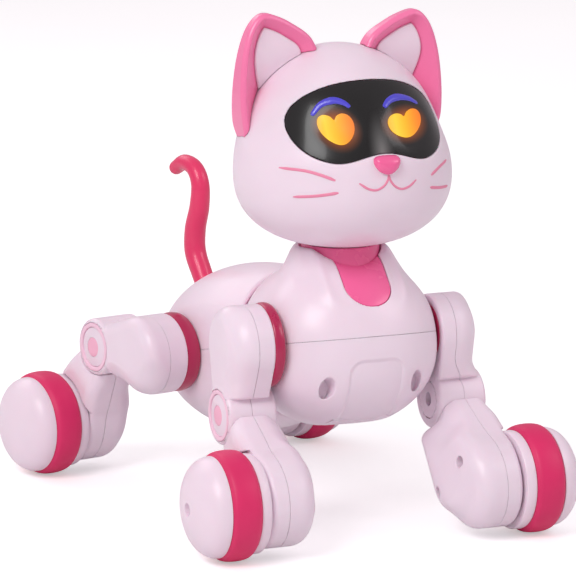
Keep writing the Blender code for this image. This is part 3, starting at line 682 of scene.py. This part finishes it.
def chest_lower(x, y, z):
    """Lower chest shell with its battery opening."""
    solid = both(chest_wall(chest_low_skin(x, y, z), x, y, z, WALL), z + SEAM, EDGE)
    solid = without(solid, battery_lid(x, y, z, 0.0, 1.5), 0.3)
    solid = np.maximum(solid, SHAFT_ROOM - np.hypot(y, z))
    return both(solid, y - CHEST_RIM, 0.8)


def chest_bib(x, y, z):
    """Pink bib, a little sunk in its opening."""
    solid = both(shelled(chest_skin(x, y, z) + BIB_SUNK, 1.4), tongue(x, y, z) + 0.25, 0.3)
    return np.maximum(solid, NECK_R + 0.1 - np.hypot(x, y - NECK_Y))


def battery_cover(x, y, z):
    """Battery cover with a finger notch."""
    solid = both(shelled(chest_low_skin(x, y, z)), battery_lid(x, y, z, 0.3, 1.2), 0.3)
    notch = np.hypot(np.hypot(x / 1.6, y - 20.5), z + 39.5) - 3.4
    return without(solid, notch, 0.4)


def head_offset():
    """Place of the shoulder axis in the head's y and z, measured from the middle of the head."""
    hip = spot("front_right_hip")
    return (hip.y - spot("head_turn").y) / MM, hip.z / MM - HEAD_Z


def collar(x, y, z):
    """Tilted collar under the head, hollowed to clear it."""
    ring = both(np.hypot(x, y - NECK_Y) - NECK_R, slab(z, 29, 54), 0.6)
    tilt = math.acos(CHEST.to_3x3().col[2].normalized().z)
    back, up = head_offset()
    head_y = y * math.cos(tilt) + z * math.sin(tilt) + back
    head_z = -y * math.sin(tilt) + z * math.cos(tilt) + up
    low = HEAD_DOWN + 0.4
    around = np.hypot(x, head_y) / (HEAD_HALF + 0.9)
    drop = np.abs(np.minimum(head_z, 0)) / low
    chin = (around ** LOW_POWER + drop ** LOW_POWER) ** (1 / LOW_POWER)
    return without(ring, (chin - 1) * low, 0.5)


def rump_half(sign):
    """Field of the upper or the lower rump shell."""
    def field(x, y, z):
        solid = both(shelled(rump_skin(x, y, z)), SEAM - sign * z, EDGE)
        solid = both(solid, RUMP_MOUTH - y, 0.9)
        solid = np.maximum(solid, SHAFT_ROOM - np.hypot(y - RUMP_HIP_Y, z))
        if sign > 0:
            return without(solid, tail_socket(x, y, z), 0.5)
        switch_slot = np.maximum(both(slab(x, -6.5, 6.5), slab(y, 96, 101), 0.8), z + 30)
        return without(solid, switch_slot, 0.3)
    return field


def build_body():
    """Chest and rump skins."""
    rows = (
        ("chest_upper_shell", chest_upper, "shell",
         (-44, 44, 0.9, [(-14, 15, 0.5)]), (-38, 53, 0.9, [(-36, -6, 0.55)]),
         (-3, 56, 0.9, [SEAM_BAND, (9, 46, 0.55)])),
        ("chest_lower_shell", chest_lower, "shell",
         (-44, 44, 0.9), (-38, 53, 0.8), (-46, 3, 0.8, [SEAM_BAND])),
        ("chest_bib", chest_bib, "pink", (-15, 15, 0.45), (-40, 8, 0.5), (2, 54, 0.5)),
        ("battery_cover", battery_cover, "shell", (-17, 17, 0.6), (-10, 27, 0.6), (-46, -18, 0.5)),
        ("neck_collar", collar, "pink", (-20, 20, 0.5), (-19, 22, 0.5), (27, 56, 0.5)),
    )
    for node, field, look, *spans in rows:
        carved_skin(node, field, spans, CHEST, "chest", look)

    points, faces = lathe(rounded(SLEEVE, 0.5))
    turned = [(y * SLEEVE_SQUASH, u, z) for u, y, z in points]
    skin_piece("waist_sleeve", turned, [f[::-1] for f in faces], CHEST, "chest", "pale")

    for word, sign, low, high in (("upper", 1, -3, 42), ("lower", -1, -46, 3)):
        spans = (-41, 41, 0.9), (63, 165, 0.9), (low, high, 0.9, [SEAM_BAND])
        carved_skin("rump_" + word + "_shell", rump_half(sign), spans, RUMP, "rump", "shell")


TAIL_TILT = math.radians(20.5)
TAIL_BASE = (138.5, 24.0)  # (y, z) in the rump frame
TAIL_PATH = ((0.0, 1.0, 4.8), (0.3, 11.3, 5.1), (-0.1, 23.3, 5.3), (-6.0, 32.7, 5.2), (-15.2, 40.5, 4.9),
             (-21.7, 49.5, 4.5), (-21.6, 58.0, 4.2), (-15.1, 64.4, 3.9), (-6.9, 65.4, 3.5))  # y, z and girth
TAIL_STEPS = 90


def tail_socket(x, y, z):
    """Hole that the tail plugs into."""
    across = (y - TAIL_BASE[0]) * math.cos(TAIL_TILT) - (z - TAIL_BASE[1]) * math.sin(TAIL_TILT)
    return np.maximum(np.hypot(x, across) - 5.2, 15 - z)


def round_end(line, radii):
    """Carry a tube's last stretch on as a dome."""
    ahead = line[-1] - line[-2]
    ahead /= np.linalg.norm(ahead)
    reach = radii[-1]
    turns = np.linspace(0, 1, 12)[1:] * math.pi / 2
    dome = [line[-1] + ahead * reach * math.sin(t) for t in turns]
    slim = [reach * max(0.02, math.cos(t)) for t in turns]
    return np.vstack((line, dome)), np.concatenate((radii, slim))


def build_tail():
    """Soft tail: it leaves the rump, sweeps back, rises and curls over at its blunt tip."""
    line = spline([(0, y, z) for y, z, _ in TAIL_PATH], TAIL_STEPS)
    last = len(TAIL_PATH) - 1
    radii = np.interp(np.linspace(0, last, TAIL_STEPS), range(last + 1), [girth for *_, girth in TAIL_PATH])
    axis = Matrix.Translation((0, *TAIL_BASE)) @ Matrix.Rotation(-TAIL_TILT, 4, "X")
    points, faces = sweep(*round_end(line, radii), 28, np.array((1.0, 0.0, 0.0)))
    skin_piece("tail", points, faces, RUMP @ axis, "tail", "tail")


# --- Head ---

CROWN_LEAN = 6.0
HEAD_SEAM_Y = 25.0
EYE_SINK = 2.8
TEMPLE = 3.2
MASK_HALF = 37.0
MASK_Z = 189.5
MASK_UP, MASK_DOWN, MASK_NOTCH = 21.2, 14.3, 4.8


def eye_hollow(x, z):
    """How far the skin sinks round each eye, which leaves a soft ridge between them."""
    return EYE_SINK * np.exp(-((np.abs(x) - 18.5) / 9.5) ** 2 - ((z - 191.0) / 8.5) ** 2)


def head_half(z, y):
    """Half width of the head, a little pinched at the temples in front."""
    return HEAD_HALF - TEMPLE * np.exp(-((z - 192.0) / 15.0) ** 2) * ease(2, -20, y)


def head_skin(x, y, z):
    """Head: wide round cheeks, a crown that leans back and shallow hollows for the eyes."""
    rise = (z - HEAD_Z) / HEAD_UP
    y = y - CROWN_LEAN * np.clip(rise, 0, 1.1) ** 2
    y = y - eye_hollow(x, z) * ease(-10, -25, y)
    around = np.hypot(x / head_half(z, y), y / np.where(y < 0, HEAD_FRONT, HEAD_BACK))
    upper = np.hypot(around, rise)
    drop = np.maximum(HEAD_Z - z, 0) / HEAD_DOWN
    lower = (around ** LOW_POWER + drop ** LOW_POWER) ** (1 / LOW_POWER)
    return (np.where(z > HEAD_Z, upper, lower) - 1) * 46.0


def head_front(x, z, proud=0.0):
    """The y of the front of the head at a place seen square from the front."""
    rise = (z - HEAD_Z) / HEAD_UP
    if z > HEAD_Z:
        around = math.sqrt(max(0.0, 1 - rise * rise))
    else:
        around = max(0.0, 1 - ((HEAD_Z - z) / HEAD_DOWN) ** LOW_POWER) ** (1 / LOW_POWER)
    depth = HEAD_FRONT * math.sqrt(max(0.0, around ** 2 - (x / head_half(z, -20.0)) ** 2))
    return -depth - proud + CROWN_LEAN * max(0.0, rise) ** 2 + eye_hollow(x, z)


def mask_outline(count=44):
    """Visor outline: an arch above, two lobes and a shallow notch below."""
    above, below = [], []
    for i in range(count + 1):
        share = math.sin(math.pi * (i / count - 0.5))
        x = MASK_HALF * share
        arch = MASK_UP * max(0.0, 1 - abs(share) ** 2.2) ** 0.5
        lobe = MASK_DOWN * max(0.0, 1 - abs(share) ** 4.5) ** 0.5
        notch = MASK_NOTCH * math.cos(min(1.0, abs(x) / 24) * math.pi / 2) ** 2
        above.append((x, MASK_Z + arch))
        below.append((x, MASK_Z - lobe + notch))
    return above + below[-2:0:-1]


MASK = mask_outline()


def face_shell(x, y, z):
    """Front half of the head with the visor window."""
    skin = shelled(head_skin(x, y, z))
    window = np.maximum(outline_distance(x, z, MASK), y + 6)
    solid = without(skin, window, 0.55)
    solid = without(solid, np.maximum(np.hypot(x, y) - 8.2, z - 141), 0.4)
    return both(solid, y - HEAD_SEAM_Y + 0.15, 0.3)


def back_shell(x, y, z):
    """Back half of the head."""
    return both(shelled(head_skin(x, y, z)), HEAD_SEAM_Y + 0.15 - y, 0.3)


def visor(x, y, z):
    """Visor that fills the window, a hair below the skin."""
    solid = shelled(head_skin(x, y, z) + 0.25, 1.6)
    return both(solid, np.maximum(outline_distance(x, z, MASK) + 0.22, y + 6.5), 0.25)


EAR = [(10.9, 214.0), (14.2, 226.4), (24.0, 234.0), (32.0, 237.8), (37.6, 238.8), (42.0, 236.0),
       (45.8, 229.5), (48.6, 218.5), (49.9, 205.0), (49.7, 193.0), (48.0, 183.0), (45.3, 175.6),
       (40.0, 181.0), (20.0, 205.0)]
EAR_Y = 3.5
EAR_AHEAD, EAR_BEHIND = 6.8, 10.5
FUNNEL_SLOPE = 1.05
LEFT_EAR_LOWER = 0.06  # how much of its height above the head the left ear lacks


def ear_taper(z):
    """Share of the ear's full depth at a height."""
    rise = np.clip((z - 180) / 58.8, 0, 1)
    return (1 - 0.60 * rise) * (0.35 + 0.65 * ease(174, 190, z))


def ear_funnel(z):
    """Width of the funnel's slope at a height."""
    return 6.6 + 8.0 * ease(224, 192, z)


def ear_parts(side):
    """Fields of one ear: its pink shell with a funnel in front, and the pale insert."""
    drop = LEFT_EAR_LOWER if side > 0 else 0
    loop = smooth_loop([(side * x, z - drop * max(0, z - 214)) for x, z in EAR])

    def rim(x, y, z):
        edge = outline_distance(x, z, loop)
        funnel = FUNNEL_SLOPE * np.clip(-edge - 2.2, 0, ear_funnel(z) - 1.9)
        front = EAR_Y - EAR_AHEAD * ear_taper(z) + funnel
        solid = both(edge, both(front - y, y - EAR_Y - EAR_BEHIND * ear_taper(z), 1.0), 2.2)
        return without(solid, head_skin(x, y, z) - 0.12, 0.2)

    def insert(x, y, z):
        edge = outline_distance(x, z, loop) + ear_funnel(z)
        front = EAR_Y - EAR_AHEAD * ear_taper(z) + FUNNEL_SLOPE * (ear_funnel(z) - 3.0) - 0.5
        solid = both(edge, np.maximum(front - y, y - EAR_Y - EAR_BEHIND * ear_taper(z) + 1.5), 0.9)
        return without(solid, head_skin(x, y, z) - 0.12, 0.2)

    return rim, insert


HEART = [(0.0, 0.29), (0.10, 0.42), (0.26, 0.48), (0.42, 0.40), (0.50, 0.19), (0.47, -0.07), (0.35, -0.29),
         (0.17, -0.45), (0.0, -0.50)]
DECAL_RINGS, DECAL_PROUD, DECAL_SUNK = 7, 0.12, 0.35


def mirrored(half, share):
    """Smooth closed outline from the half that starts and ends on the middle line."""
    return smooth_loop(half + [(-x, z) for x, z in half[-2:0:-1]], share)


def decal(name, outline, centre, look):
    """Thin plate that follows the visor. Its outline runs clockwise round a centre, seen from the front."""
    x, z = centre

    def ring(share, proud):
        spots = [(x + (px - x) * share, z + (pz - z) * share) for px, pz in outline]
        return [(px, head_front(px, pz, proud), pz) for px, pz in spots]

    shares = [step / DECAL_RINGS for step in range(1, DECAL_RINGS + 1)]
    rings = [ring(share, DECAL_PROUD * (1 - share ** 4)) for share in shares]
    rings += [ring(share, -DECAL_SUNK) for share in reversed(shares)]
    points, faces = tube(rings, (x, head_front(x, z, DECAL_PROUD), z), (x, head_front(x, z, -DECAL_SUNK), z))
    mesh_piece(name, points, faces, HEAD, "head", look)


def face_stroke(name, path, look, girth, taper, proud, squash, count):
    """Flattened tube that follows the face through (x, z) points, with a (place, share of girth) taper."""
    line = spline([(x, 0, z) for x, z in path], count)
    line[:, 1] = [head_front(x, z, proud) for x, _, z in line]
    radii = girth * np.interp(np.linspace(0, 1, count), *zip(*taper))
    points, faces = sweep(line, radii, 14, slope(head_skin, line)[1], squash)
    mesh_piece(name, points, faces, HEAD, "head", look)


def glow_look(name, left, right):
    """Lit heart under gloss: yellow on one side, orange on the other, the yellow side a painted highlight."""
    made, tree, shader = new_look(name)
    across = tree.nodes.new("ShaderNodeMapRange")
    across.inputs["From Min"].default_value = HEAD.translation.x + left * MM
    across.inputs["From Max"].default_value = HEAD.translation.x + right * MM
    tree.links.new(place_sockets(tree)[0], across.inputs["Value"])
    # Glow colour runs from yellow at the left to orange at the right. The yellow side and its brightest stop are a
    # painted highlight on the lit heart.
    stops = [(0.0, (0.94, 0.48, 0.01)), (0.20, (1.0, 0.66, 0.03)), (0.50, (1.0, 0.47, 0.005)),
             (0.80, (0.96, 0.27, 0.004)), (1.0, (0.88, 0.18, 0.004))]
    feed(tree, shader, {
        "Base Color": (0.06, 0.02, 0.0, 1.0), "Coat Weight": 0.10,
        "Emission Color": ramp(tree, across.outputs["Result"], stops), "Emission Strength": 1.0,
        "Roughness": span(tree, noise(tree, 120.0), 0.40, 0.50)})
    return made


def build_head():
    """Head shells, visor with its lit face, nose, mouth, whiskers and ears."""
    seam = (23.5, 26.5, 0.3)
    rows = (
        ("head_face_shell", face_shell, "shell",
         (-52, 52, 0.6), (-53, 27, 0.7, [seam]), (130, 226, 0.8, [(172, 213, 0.5)])),
        ("head_back_shell", back_shell, "shell",
         (-52, 52, 1.0), (23, 56, 1.0, [seam]), (130, 226, 1.0)),
        ("visor", visor, "visor", (-38, 38, 0.5), (-53, -5, 0.6), (173, 212, 0.5)),
    )
    for node, field, look, *spans in rows:
        carved_skin(node, field, spans, HEAD, "head", look)
    for word, side in (("right", -1), ("left", 1)):
        low, high = sorted((side * 8, side * 54))
        spans = ((low, high, 0.6), (-8, 15, 0.5), (176, 241, 0.6))
        rim, insert = ear_parts(side)
        carved_skin("ear_rim_" + word, rim, spans, HEAD, "head", "ear_pink")
        carved_skin("ear_inner_" + word, insert, spans, HEAD, "head", "shell")
    build_eyes()
    build_muzzle()


BROWS = {"right": ((-27.6, 196.2), (-23.2, 200.9), (-18.1, 202.7), (-14.4, 201.9), (-12.0, 200.0)),
         "left": ((3.4, 199.4), (7.2, 202.0), (12.6, 202.9), (18.8, 201.6), (23.9, 199.0))}
BROW_TAPER = ((0, 0.6), (0.04, 1.2), (0.45, 1.85), (0.96, 0.9), (1, 0.5))


def build_eyes():
    """Hearts and brows shown on the visor."""
    for word, centre, size, tilt in HEARTS:
        cos, sin = math.cos(tilt), math.sin(tilt)
        outline = []
        for x, z in mirrored(HEART, 5):
            x, z = x * size[0], z * size[1]
            outline.append((centre[0] + x * cos - z * sin, centre[1] + x * sin + z * cos))
        look = "heart_" + word
        LOOKS[look] = glow_look("heart_light_" + word, centre[0] - size[0] / 2, centre[0] + size[0] / 2)
        decal("eye_heart_" + word, outline, centre, look)
    for word, path in BROWS.items():
        face_stroke("brow_" + word, path, "brow", 1.0, BROW_TAPER, -0.35, 0.4, 32)


NOSE = [(0.0, 171.0), (3.0, 171.9), (5.4, 174.2), (6.4, 177.1), (5.0, 179.1), (0.0, 179.6)]
NOSE_LOOP = mirrored(NOSE, 6)
LINE_TAPER = ((0, 0.35), (0.08, 0.9), (0.9, 1.0), (1, 0.55))
MOUTH, WHISKER = 0.56, 0.72  # girth of the painted lines
FACE_LINES = (
    ("mouth_right", MOUTH, ((0.35, 170.9), (0.0, 168.6), (-2.0, 165.9), (-5.4, 164.3), (-9.2, 165.0),
                            (-13.2, 167.6))),
    ("mouth_left", MOUTH, ((0.65, 170.9), (1.2, 168.4), (3.6, 165.5), (7.1, 164.0), (11.2, 164.9),
                           (14.9, 167.4))),
    ("whisker_right_upper", WHISKER, ((-42.2, 173.2), (-34.4, 172.8), (-28.6, 171.2), (-23.0, 168.9))),
    ("whisker_right_lower", WHISKER, ((-38.2, 160.7), (-30.0, 161.8), (-21.8, 163.4))),
    ("whisker_left_upper", WHISKER, ((36.8, 172.9), (30.0, 170.9), (24.2, 168.3))),
    ("whisker_left_lower", WHISKER, ((37.6, 160.9), (30.5, 161.6), (23.6, 162.8))),
)


def nose(x, y, z):
    """Round-cornered triangle, swollen like a cushion, from just under the skin."""
    edge = outline_distance(x, z, NOSE_LOOP)
    swell = 1 - np.clip(-edge / 4.1, 0, 1)
    skin = head_skin(x, y, z)
    cushion = both(edge, skin - 0.4 - 2.8 * np.sqrt(1 - swell * swell), 0.5)
    return np.maximum(cushion, -skin - 0.3)


def build_muzzle():
    """Nose, mouth and whiskers."""
    spans = (-8, 8, 0.4), (-56, -44, 0.4), (169, 181, 0.4)
    carved_skin("nose", nose, spans, HEAD, "head", "pink")
    for name, girth, path in FACE_LINES:
        face_stroke(name, path, "line", girth, LINE_TAPER, 0.0, 0.45, 30)


# --- Legs ---

LEG_SEAM = 52.0
BARREL_R = 13.7
CALF = 8.8  # the shank swells inward by this much behind
TOE = 4.2  # and by this much in front
SCREWS = ((-11.0, -44.6), (10.5, -45.5))  # (y, z)
HUB_RISE, HUB_REACH, HUB_HOLE = 12.7, 19.8, 3.1
DISC_IN = {"front": 39.15, "rear": 34.35}
# Inner face, tuck and disc radius of each thigh.
THIGHS = {"front_right": (43.8, 0.0, 19.5), "front_left": (39.6, 3.0, 13.4),
          "rear_right": (41.6, 0.0, 19.0), "rear_left": (41.6, 0.0, 19.0)}
LEG_GRID = 0.7


def knee_fold():
    """Angle by which the shank can fold forward of the thigh's line."""
    thigh = spot("front_right_hip") - spot("front_right_knee")
    shank = spot("front_right_knee") - spot("front_right_wheel_spin")
    return thigh.angle(shank) - math.radians(JOINTS["front_right_knee"]["range_deg"][0])


KNEE_FOLD = knee_fold()


def shank_neck(y, z):
    """Side outline of the shank, from under the barrel to the wheel."""
    return teardrop(y, z + 9.0, 10.3, 18.2, SHANK_LENGTH - 14.0)


def folded_shank(y, z):
    """Side outline of the shank at the end of its fold, in the thigh frame."""
    z = z + THIGH_LENGTH
    return shank_neck(y * math.cos(KNEE_FOLD) - z * math.sin(KNEE_FOLD),
                      y * math.sin(KNEE_FOLD) + z * math.cos(KNEE_FOLD))


def thigh_field(u, y, z, shape):
    """Thigh: a round shoulder that narrows to the knee barrel, which lies across its lower end."""
    inner, tuck, disc_r = shape
    knee = np.hypot(y, z + THIGH_LENGTH)
    at = u + tuck * ease(-24, -14, z)
    face = inner + (40.8 - inner) * ease(-19, -25, z)
    brow = 6.0 + 6.0 * ease(4, -8, y) * ease(-26, -12, z)
    blade = both(teardrop(y, z, 19.0 - 0.6 * tuck, 10.4, 27.0), face - u, 1.3)
    blade = without(both(blade, at - 63.2, brow), folded_shank(y, z) - 0.5, 1.0)
    barrel = both(both(knee - BARREL_R, u - 63.4, 2.2), 39.5 - u, 2.0)
    solid = either(blade, barrel, 0.7)
    solid = without(solid, np.maximum(np.hypot(y, z) - disc_r - 0.6, u - inner), 0.6)
    solid = without(solid, np.maximum(knee - 11.9, 61.4 - u), 0.2)
    groove = np.maximum(np.abs(knee - 9.0) - 0.22, u - 40.1)
    solid = without(solid, groove, 0.15)
    return without(solid, np.maximum(knee - 3.1, u - 46), 0.4)


def shank_field(u, y, z):
    """Shank: an arched top under the barrel, swelling to the drum that carries the wheel."""
    wheel = np.hypot(y, z + SHANK_LENGTH)
    outer = 62.4 + 2.4 * ease(-8, -22, z)
    behind = ease(-14, 8, y)
    bulge = CALF * ease(4, -18, z) * behind + TOE * ease(-22, -34, z) * (1 - behind)
    bulge = bulge * (1 - 0.55 * np.clip((-z - SHANK_LENGTH) / 18, 0, 1) ** 2)
    neck = both(both(shank_neck(y, z), u - outer, 6.0), 40.4 - bulge - u, 8.5)
    drum = both(both(wheel - 20.8, 38.0 - u, 8.5), u - 61.0, 3.2)
    solid = either(neck, drum, 3.0)
    solid = without(solid, np.maximum(wheel - 23.6, 61.2 - u), 0.7)
    solid = without(solid, np.hypot(y, z) - BARREL_R - 0.2, 0.3 + 6.0 * ease(42, 38, u))
    for screw in SCREWS:
        hole = np.hypot(y - screw[0], z - screw[1]) - 2.5
        solid = without(solid, np.maximum(hole, u - 47), 0.5)
    return solid


def carve_halves(field, seam_place, low_u, seams, rest):
    """Outer and inner half shells of a leg solid, with a fine grid along the curved seam between them."""
    outward = ruler(low_u, 66, LEG_GRID, [(seams[0] - 0.6, seams[1] + 0.6, 0.15)])
    rulers = outward, *[ruler(low, high, LEG_GRID) for low, high in rest]
    made = {}
    for word, sign in (("outer", 1), ("inner", -1)):
        def half(u, y, z, sign=sign):
            return both(shelled(field(u, y, z), LEG_WALL), sign * (seam_place(z) - u) + SEAM, EDGE)
        made[word] = carve(half, rulers)
    return made


def carve_leg_shells():
    """Half shells of the legs. Thighs of one shape are carved once, and all legs share a shank."""
    made = {}
    for shape in sorted(set(THIGHS.values())):
        def field(u, y, z, shape=shape):
            return thigh_field(u, y, z, shape)

        def seam_place(z, tuck=shape[1]):
            return LEG_SEAM - 1.8 * tuck * ease(-26, -10, z)
        seams = LEG_SEAM - 1.8 * shape[1], LEG_SEAM
        made[shape] = carve_halves(field, seam_place, 34, seams, ((-21, 21), (-47, 21)))

    def shank_seam(z):
        return LEG_SEAM + 0.6 * ease(-22, -36, z)
    seams = LEG_SEAM, LEG_SEAM + 0.6
    made["shank"] = carve_halves(shank_field, shank_seam, 30, seams, ((-22, 22), (-73, 2)))
    return made


def build_leg(leg, shells):
    """One leg: thigh and shank half shells, hip disc, knee cap and wheel."""
    thigh, shank, wheel = leg_frames(leg)
    inner, _, disc_r = THIGHS[leg]
    for part, place, pair in (("thigh", thigh, shells[THIGHS[leg]]), ("shank", shank, shells["shank"])):
        for word, (points, quads, normals) in pair.items():
            node = leg + "_" + part + "_" + word + "_shell"
            skin_piece(node, points, quads, place, leg + "_" + part, "shell", normals)
    disc_in, disc_out = DISC_IN[leg.split("_")[0]], inner + 0.6
    disc = [(disc_out, 0.0), (disc_out, disc_r - 0.5), ((disc_in + disc_out) / 2, disc_r + 0.1),
            (disc_in, disc_r - 0.5), (disc_in, 0.0)]
    points, faces = lathe(rounded(disc, min(1.2, (disc_out - disc_in) * 0.45), 6), 128)
    skin_piece(leg + "_hip_disc", points, faces, thigh, leg + "_thigh", "deep")
    build_knee_cap(leg, shank)
    build_wheel(leg, wheel)


def build_knee_cap(leg, shank):
    """Cap in the end of the knee barrel: a rim ring, a domed disc and a round dot."""
    ring = [(62.6, 9.6), (63.3, 9.8), (63.6, 10.6), (63.4, 11.5), (62.8, 11.78), (61.6, 11.78), (61.6, 9.6),
            (62.6, 9.6)]
    disc = [(63.0, 0.0), (63.0, 4.75)]
    disc += [(63.7 - 0.010 * r * r, r) for r in (4.75, 5.4, 6.6, 7.8, 8.8, 9.4)]
    disc += [(62.2, 9.55), (61.7, 9.55), (61.7, 0.0)]
    dot = [(63.72 - 0.006 * r * r, r) for r in (0.0, 1.4, 2.8, 4.0)]
    dot += [(63.4, 4.6), (62.9, 4.7), (62.9, 0.0)]
    for part, profile, steps, look, replaced in (("ring", ring, 96, "ring", [leg + "_knee_cap"]),
                                                 ("disc", disc, 96, "shell", ()),
                                                 ("dot", dot, 72, "dot", ())):
        points, faces = lathe(profile, steps)
        mesh_piece(leg + "_knee_" + part, points, faces, shank, leg + "_shank", look, replaced)


def hub_profile(front):
    """Domed wheel hub as (u, radius). The front ones have a hole at the tip."""
    turns = [math.pi / 2 * i / 24 for i in range(25)]
    dome = [(80.9 + HUB_RISE * math.cos(t) ** 0.92, HUB_HOLE + HUB_REACH * math.sin(t) ** 0.98)
            for t in turns]
    if front:
        dome = [(87.0, 0.0), (87.0, 2.3), (92.4, 2.9)] + dome
    else:
        dome = [(u, (r - HUB_HOLE) * 1.157) for u, r in dome]
    return dome + [(80.8, 20.5), (66.5, 20.5), (66.4, 22.5), (65.6, 22.7), (62.4, 22.5), (61.8, 22.0),
                   (61.8, 3.0), (54.0, 3.0), (54.0, 0.0)]


def build_wheel(leg, wheel):
    """Hub and tyre band."""
    points, faces = lathe(hub_profile(leg.startswith("front")), 128)
    skin_piece(leg + "_wheel_hub", points, faces, wheel, leg + "_wheel", "shell")
    turns = np.linspace(0.12, math.pi - 0.12, 25)
    tread = [(80.7, 20.8), (80.7, 22.7), (80.3, 23.15)]
    tread += [(73.65 + 6.2 * math.cos(t), 23.2 + 1.8 * math.sin(t) ** 0.8) for t in turns]
    tread += [(67.0, 23.15), (66.6, 22.7), (66.6, 20.8), (80.7, 20.8)]
    points, faces = lathe(tread, 128)
    skin_piece(leg + "_tyre", points, faces, wheel, leg + "_wheel", "tyre")


# --- Stage ---

FLOOR = 20.0  # half its width, in metres
LIGHT_AIM = Vector((0.0, 0.0, 0.12))
CAMERA_AZIMUTH, CAMERA_ELEVATION, CAMERA_DISTANCE = math.radians(-23.2), math.radians(10.5), 1.957


def paint_inside():
    """Give the CAD nodes that stay in view or inside the shells their own materials."""
    kinds = {"shoulder_gearbox": "grey", "hip_gearbox": "grey", "waist_arm": "grey", "speaker": "grey",
             "main_board": "board", "eye_light_board": "board", "battery_pack": "battery",
             "power_switch": "deep", "rear_right_wheel_motor": "steel", "rear_left_wheel_motor": "steel"}
    for node, kind in kinds.items():
        data = frame["nodes"][node]
        for slot in data.material_slots:
            slot.link = "OBJECT"
            slot.material = LOOKS[kind]


def area_light(name, place, size, watts, colour):
    """Soft box that faces the toy."""
    data = bpy.data.lights.new(name, "AREA")
    data.shape = "RECTANGLE"
    data.size, data.size_y = size
    data.energy = watts
    data.color = colour
    light = linked(name, data)
    light.location = place
    light.rotation_mode = "QUATERNION"
    light.rotation_quaternion = (LIGHT_AIM - Vector(place)).to_track_quat("-Z", "Y")


def build_floor():
    """Pale paper that the camera sees a little brighter than it is lit."""
    mesh = bpy.data.meshes.new("floor")
    mesh.from_pydata([(-FLOOR, -FLOOR, 0), (FLOOR, -FLOOR, 0), (FLOOR, FLOOR, 0), (-FLOOR, FLOOR, 0)], [],
                     [(0, 1, 2, 3)])
    floor = linked("floor", mesh)
    floor.location.z = -0.0003
    made, tree, shader = new_look("floor_paper")
    seen = tree.nodes.new("ShaderNodeLightPath").outputs["Is Camera Ray"]
    feed(tree, shader, {
        "Base Color": ramp(tree, noise(tree, 3.0), [(0.3, (0.86, 0.87, 0.87)), (0.7, (0.88, 0.89, 0.89))]),
        "Roughness": 0.75,
        "Emission Color": (1.0, 1.0, 1.0, 1.0), "Emission Strength": math_node(tree, "MULTIPLY", seen, 0.42)})
    mesh.materials.append(made)


def build_camera():
    """Long lens, a little above the toy and to its right."""
    level = math.cos(CAMERA_ELEVATION)
    back = Vector((math.sin(CAMERA_AZIMUTH) * level, -math.cos(CAMERA_AZIMUTH) * level,
                   math.sin(CAMERA_ELEVATION)))
    data = bpy.data.cameras.new("camera")
    data.sensor_width = 36.0
    data.lens = 258.4
    data.shift_x = 0.0102
    data.shift_y = -0.0407
    camera = linked("camera", data)
    camera.rotation_mode = "QUATERNION"
    neck = spot("head_turn")
    camera.location = Vector((neck.x, neck.y + 0.069, 0.110)) + back * CAMERA_DISTANCE
    camera.rotation_quaternion = (-back).to_track_quat("-Z", "Y")
    bpy.context.scene.camera = camera


def build_stage():
    """Floor, bright surroundings, soft boxes and the camera."""
    build_floor()
    world = bpy.data.worlds.new("studio")
    bpy.context.scene.world = world
    world.use_nodes = True
    world.node_tree.nodes["Background"].inputs["Color"].default_value = (1.0, 0.90, 0.95, 1.0)
    world.node_tree.nodes["Background"].inputs["Strength"].default_value = 0.53
    area_light("key_light", (-1.3, -0.9, 1.4), (0.9, 0.9), 18.0, (1.0, 1.0, 1.0))
    area_light("fill_light", (1.4, -1.1, 1.4), (0.8, 0.8), 6.5, (1.0, 0.97, 0.99))
    area_light("back_light", (-0.4, 1.3, 1.2), (1.2, 0.8), 5.0, (1.0, 0.97, 1.0))
    build_camera()
    bpy.context.scene.view_settings.view_transform = "Standard"


build_body()
build_tail()
build_head()
leg_shells = carve_leg_shells()
for leg_name in LEGS:
    build_leg(leg_name, leg_shells)
paint_inside()
build_stage()
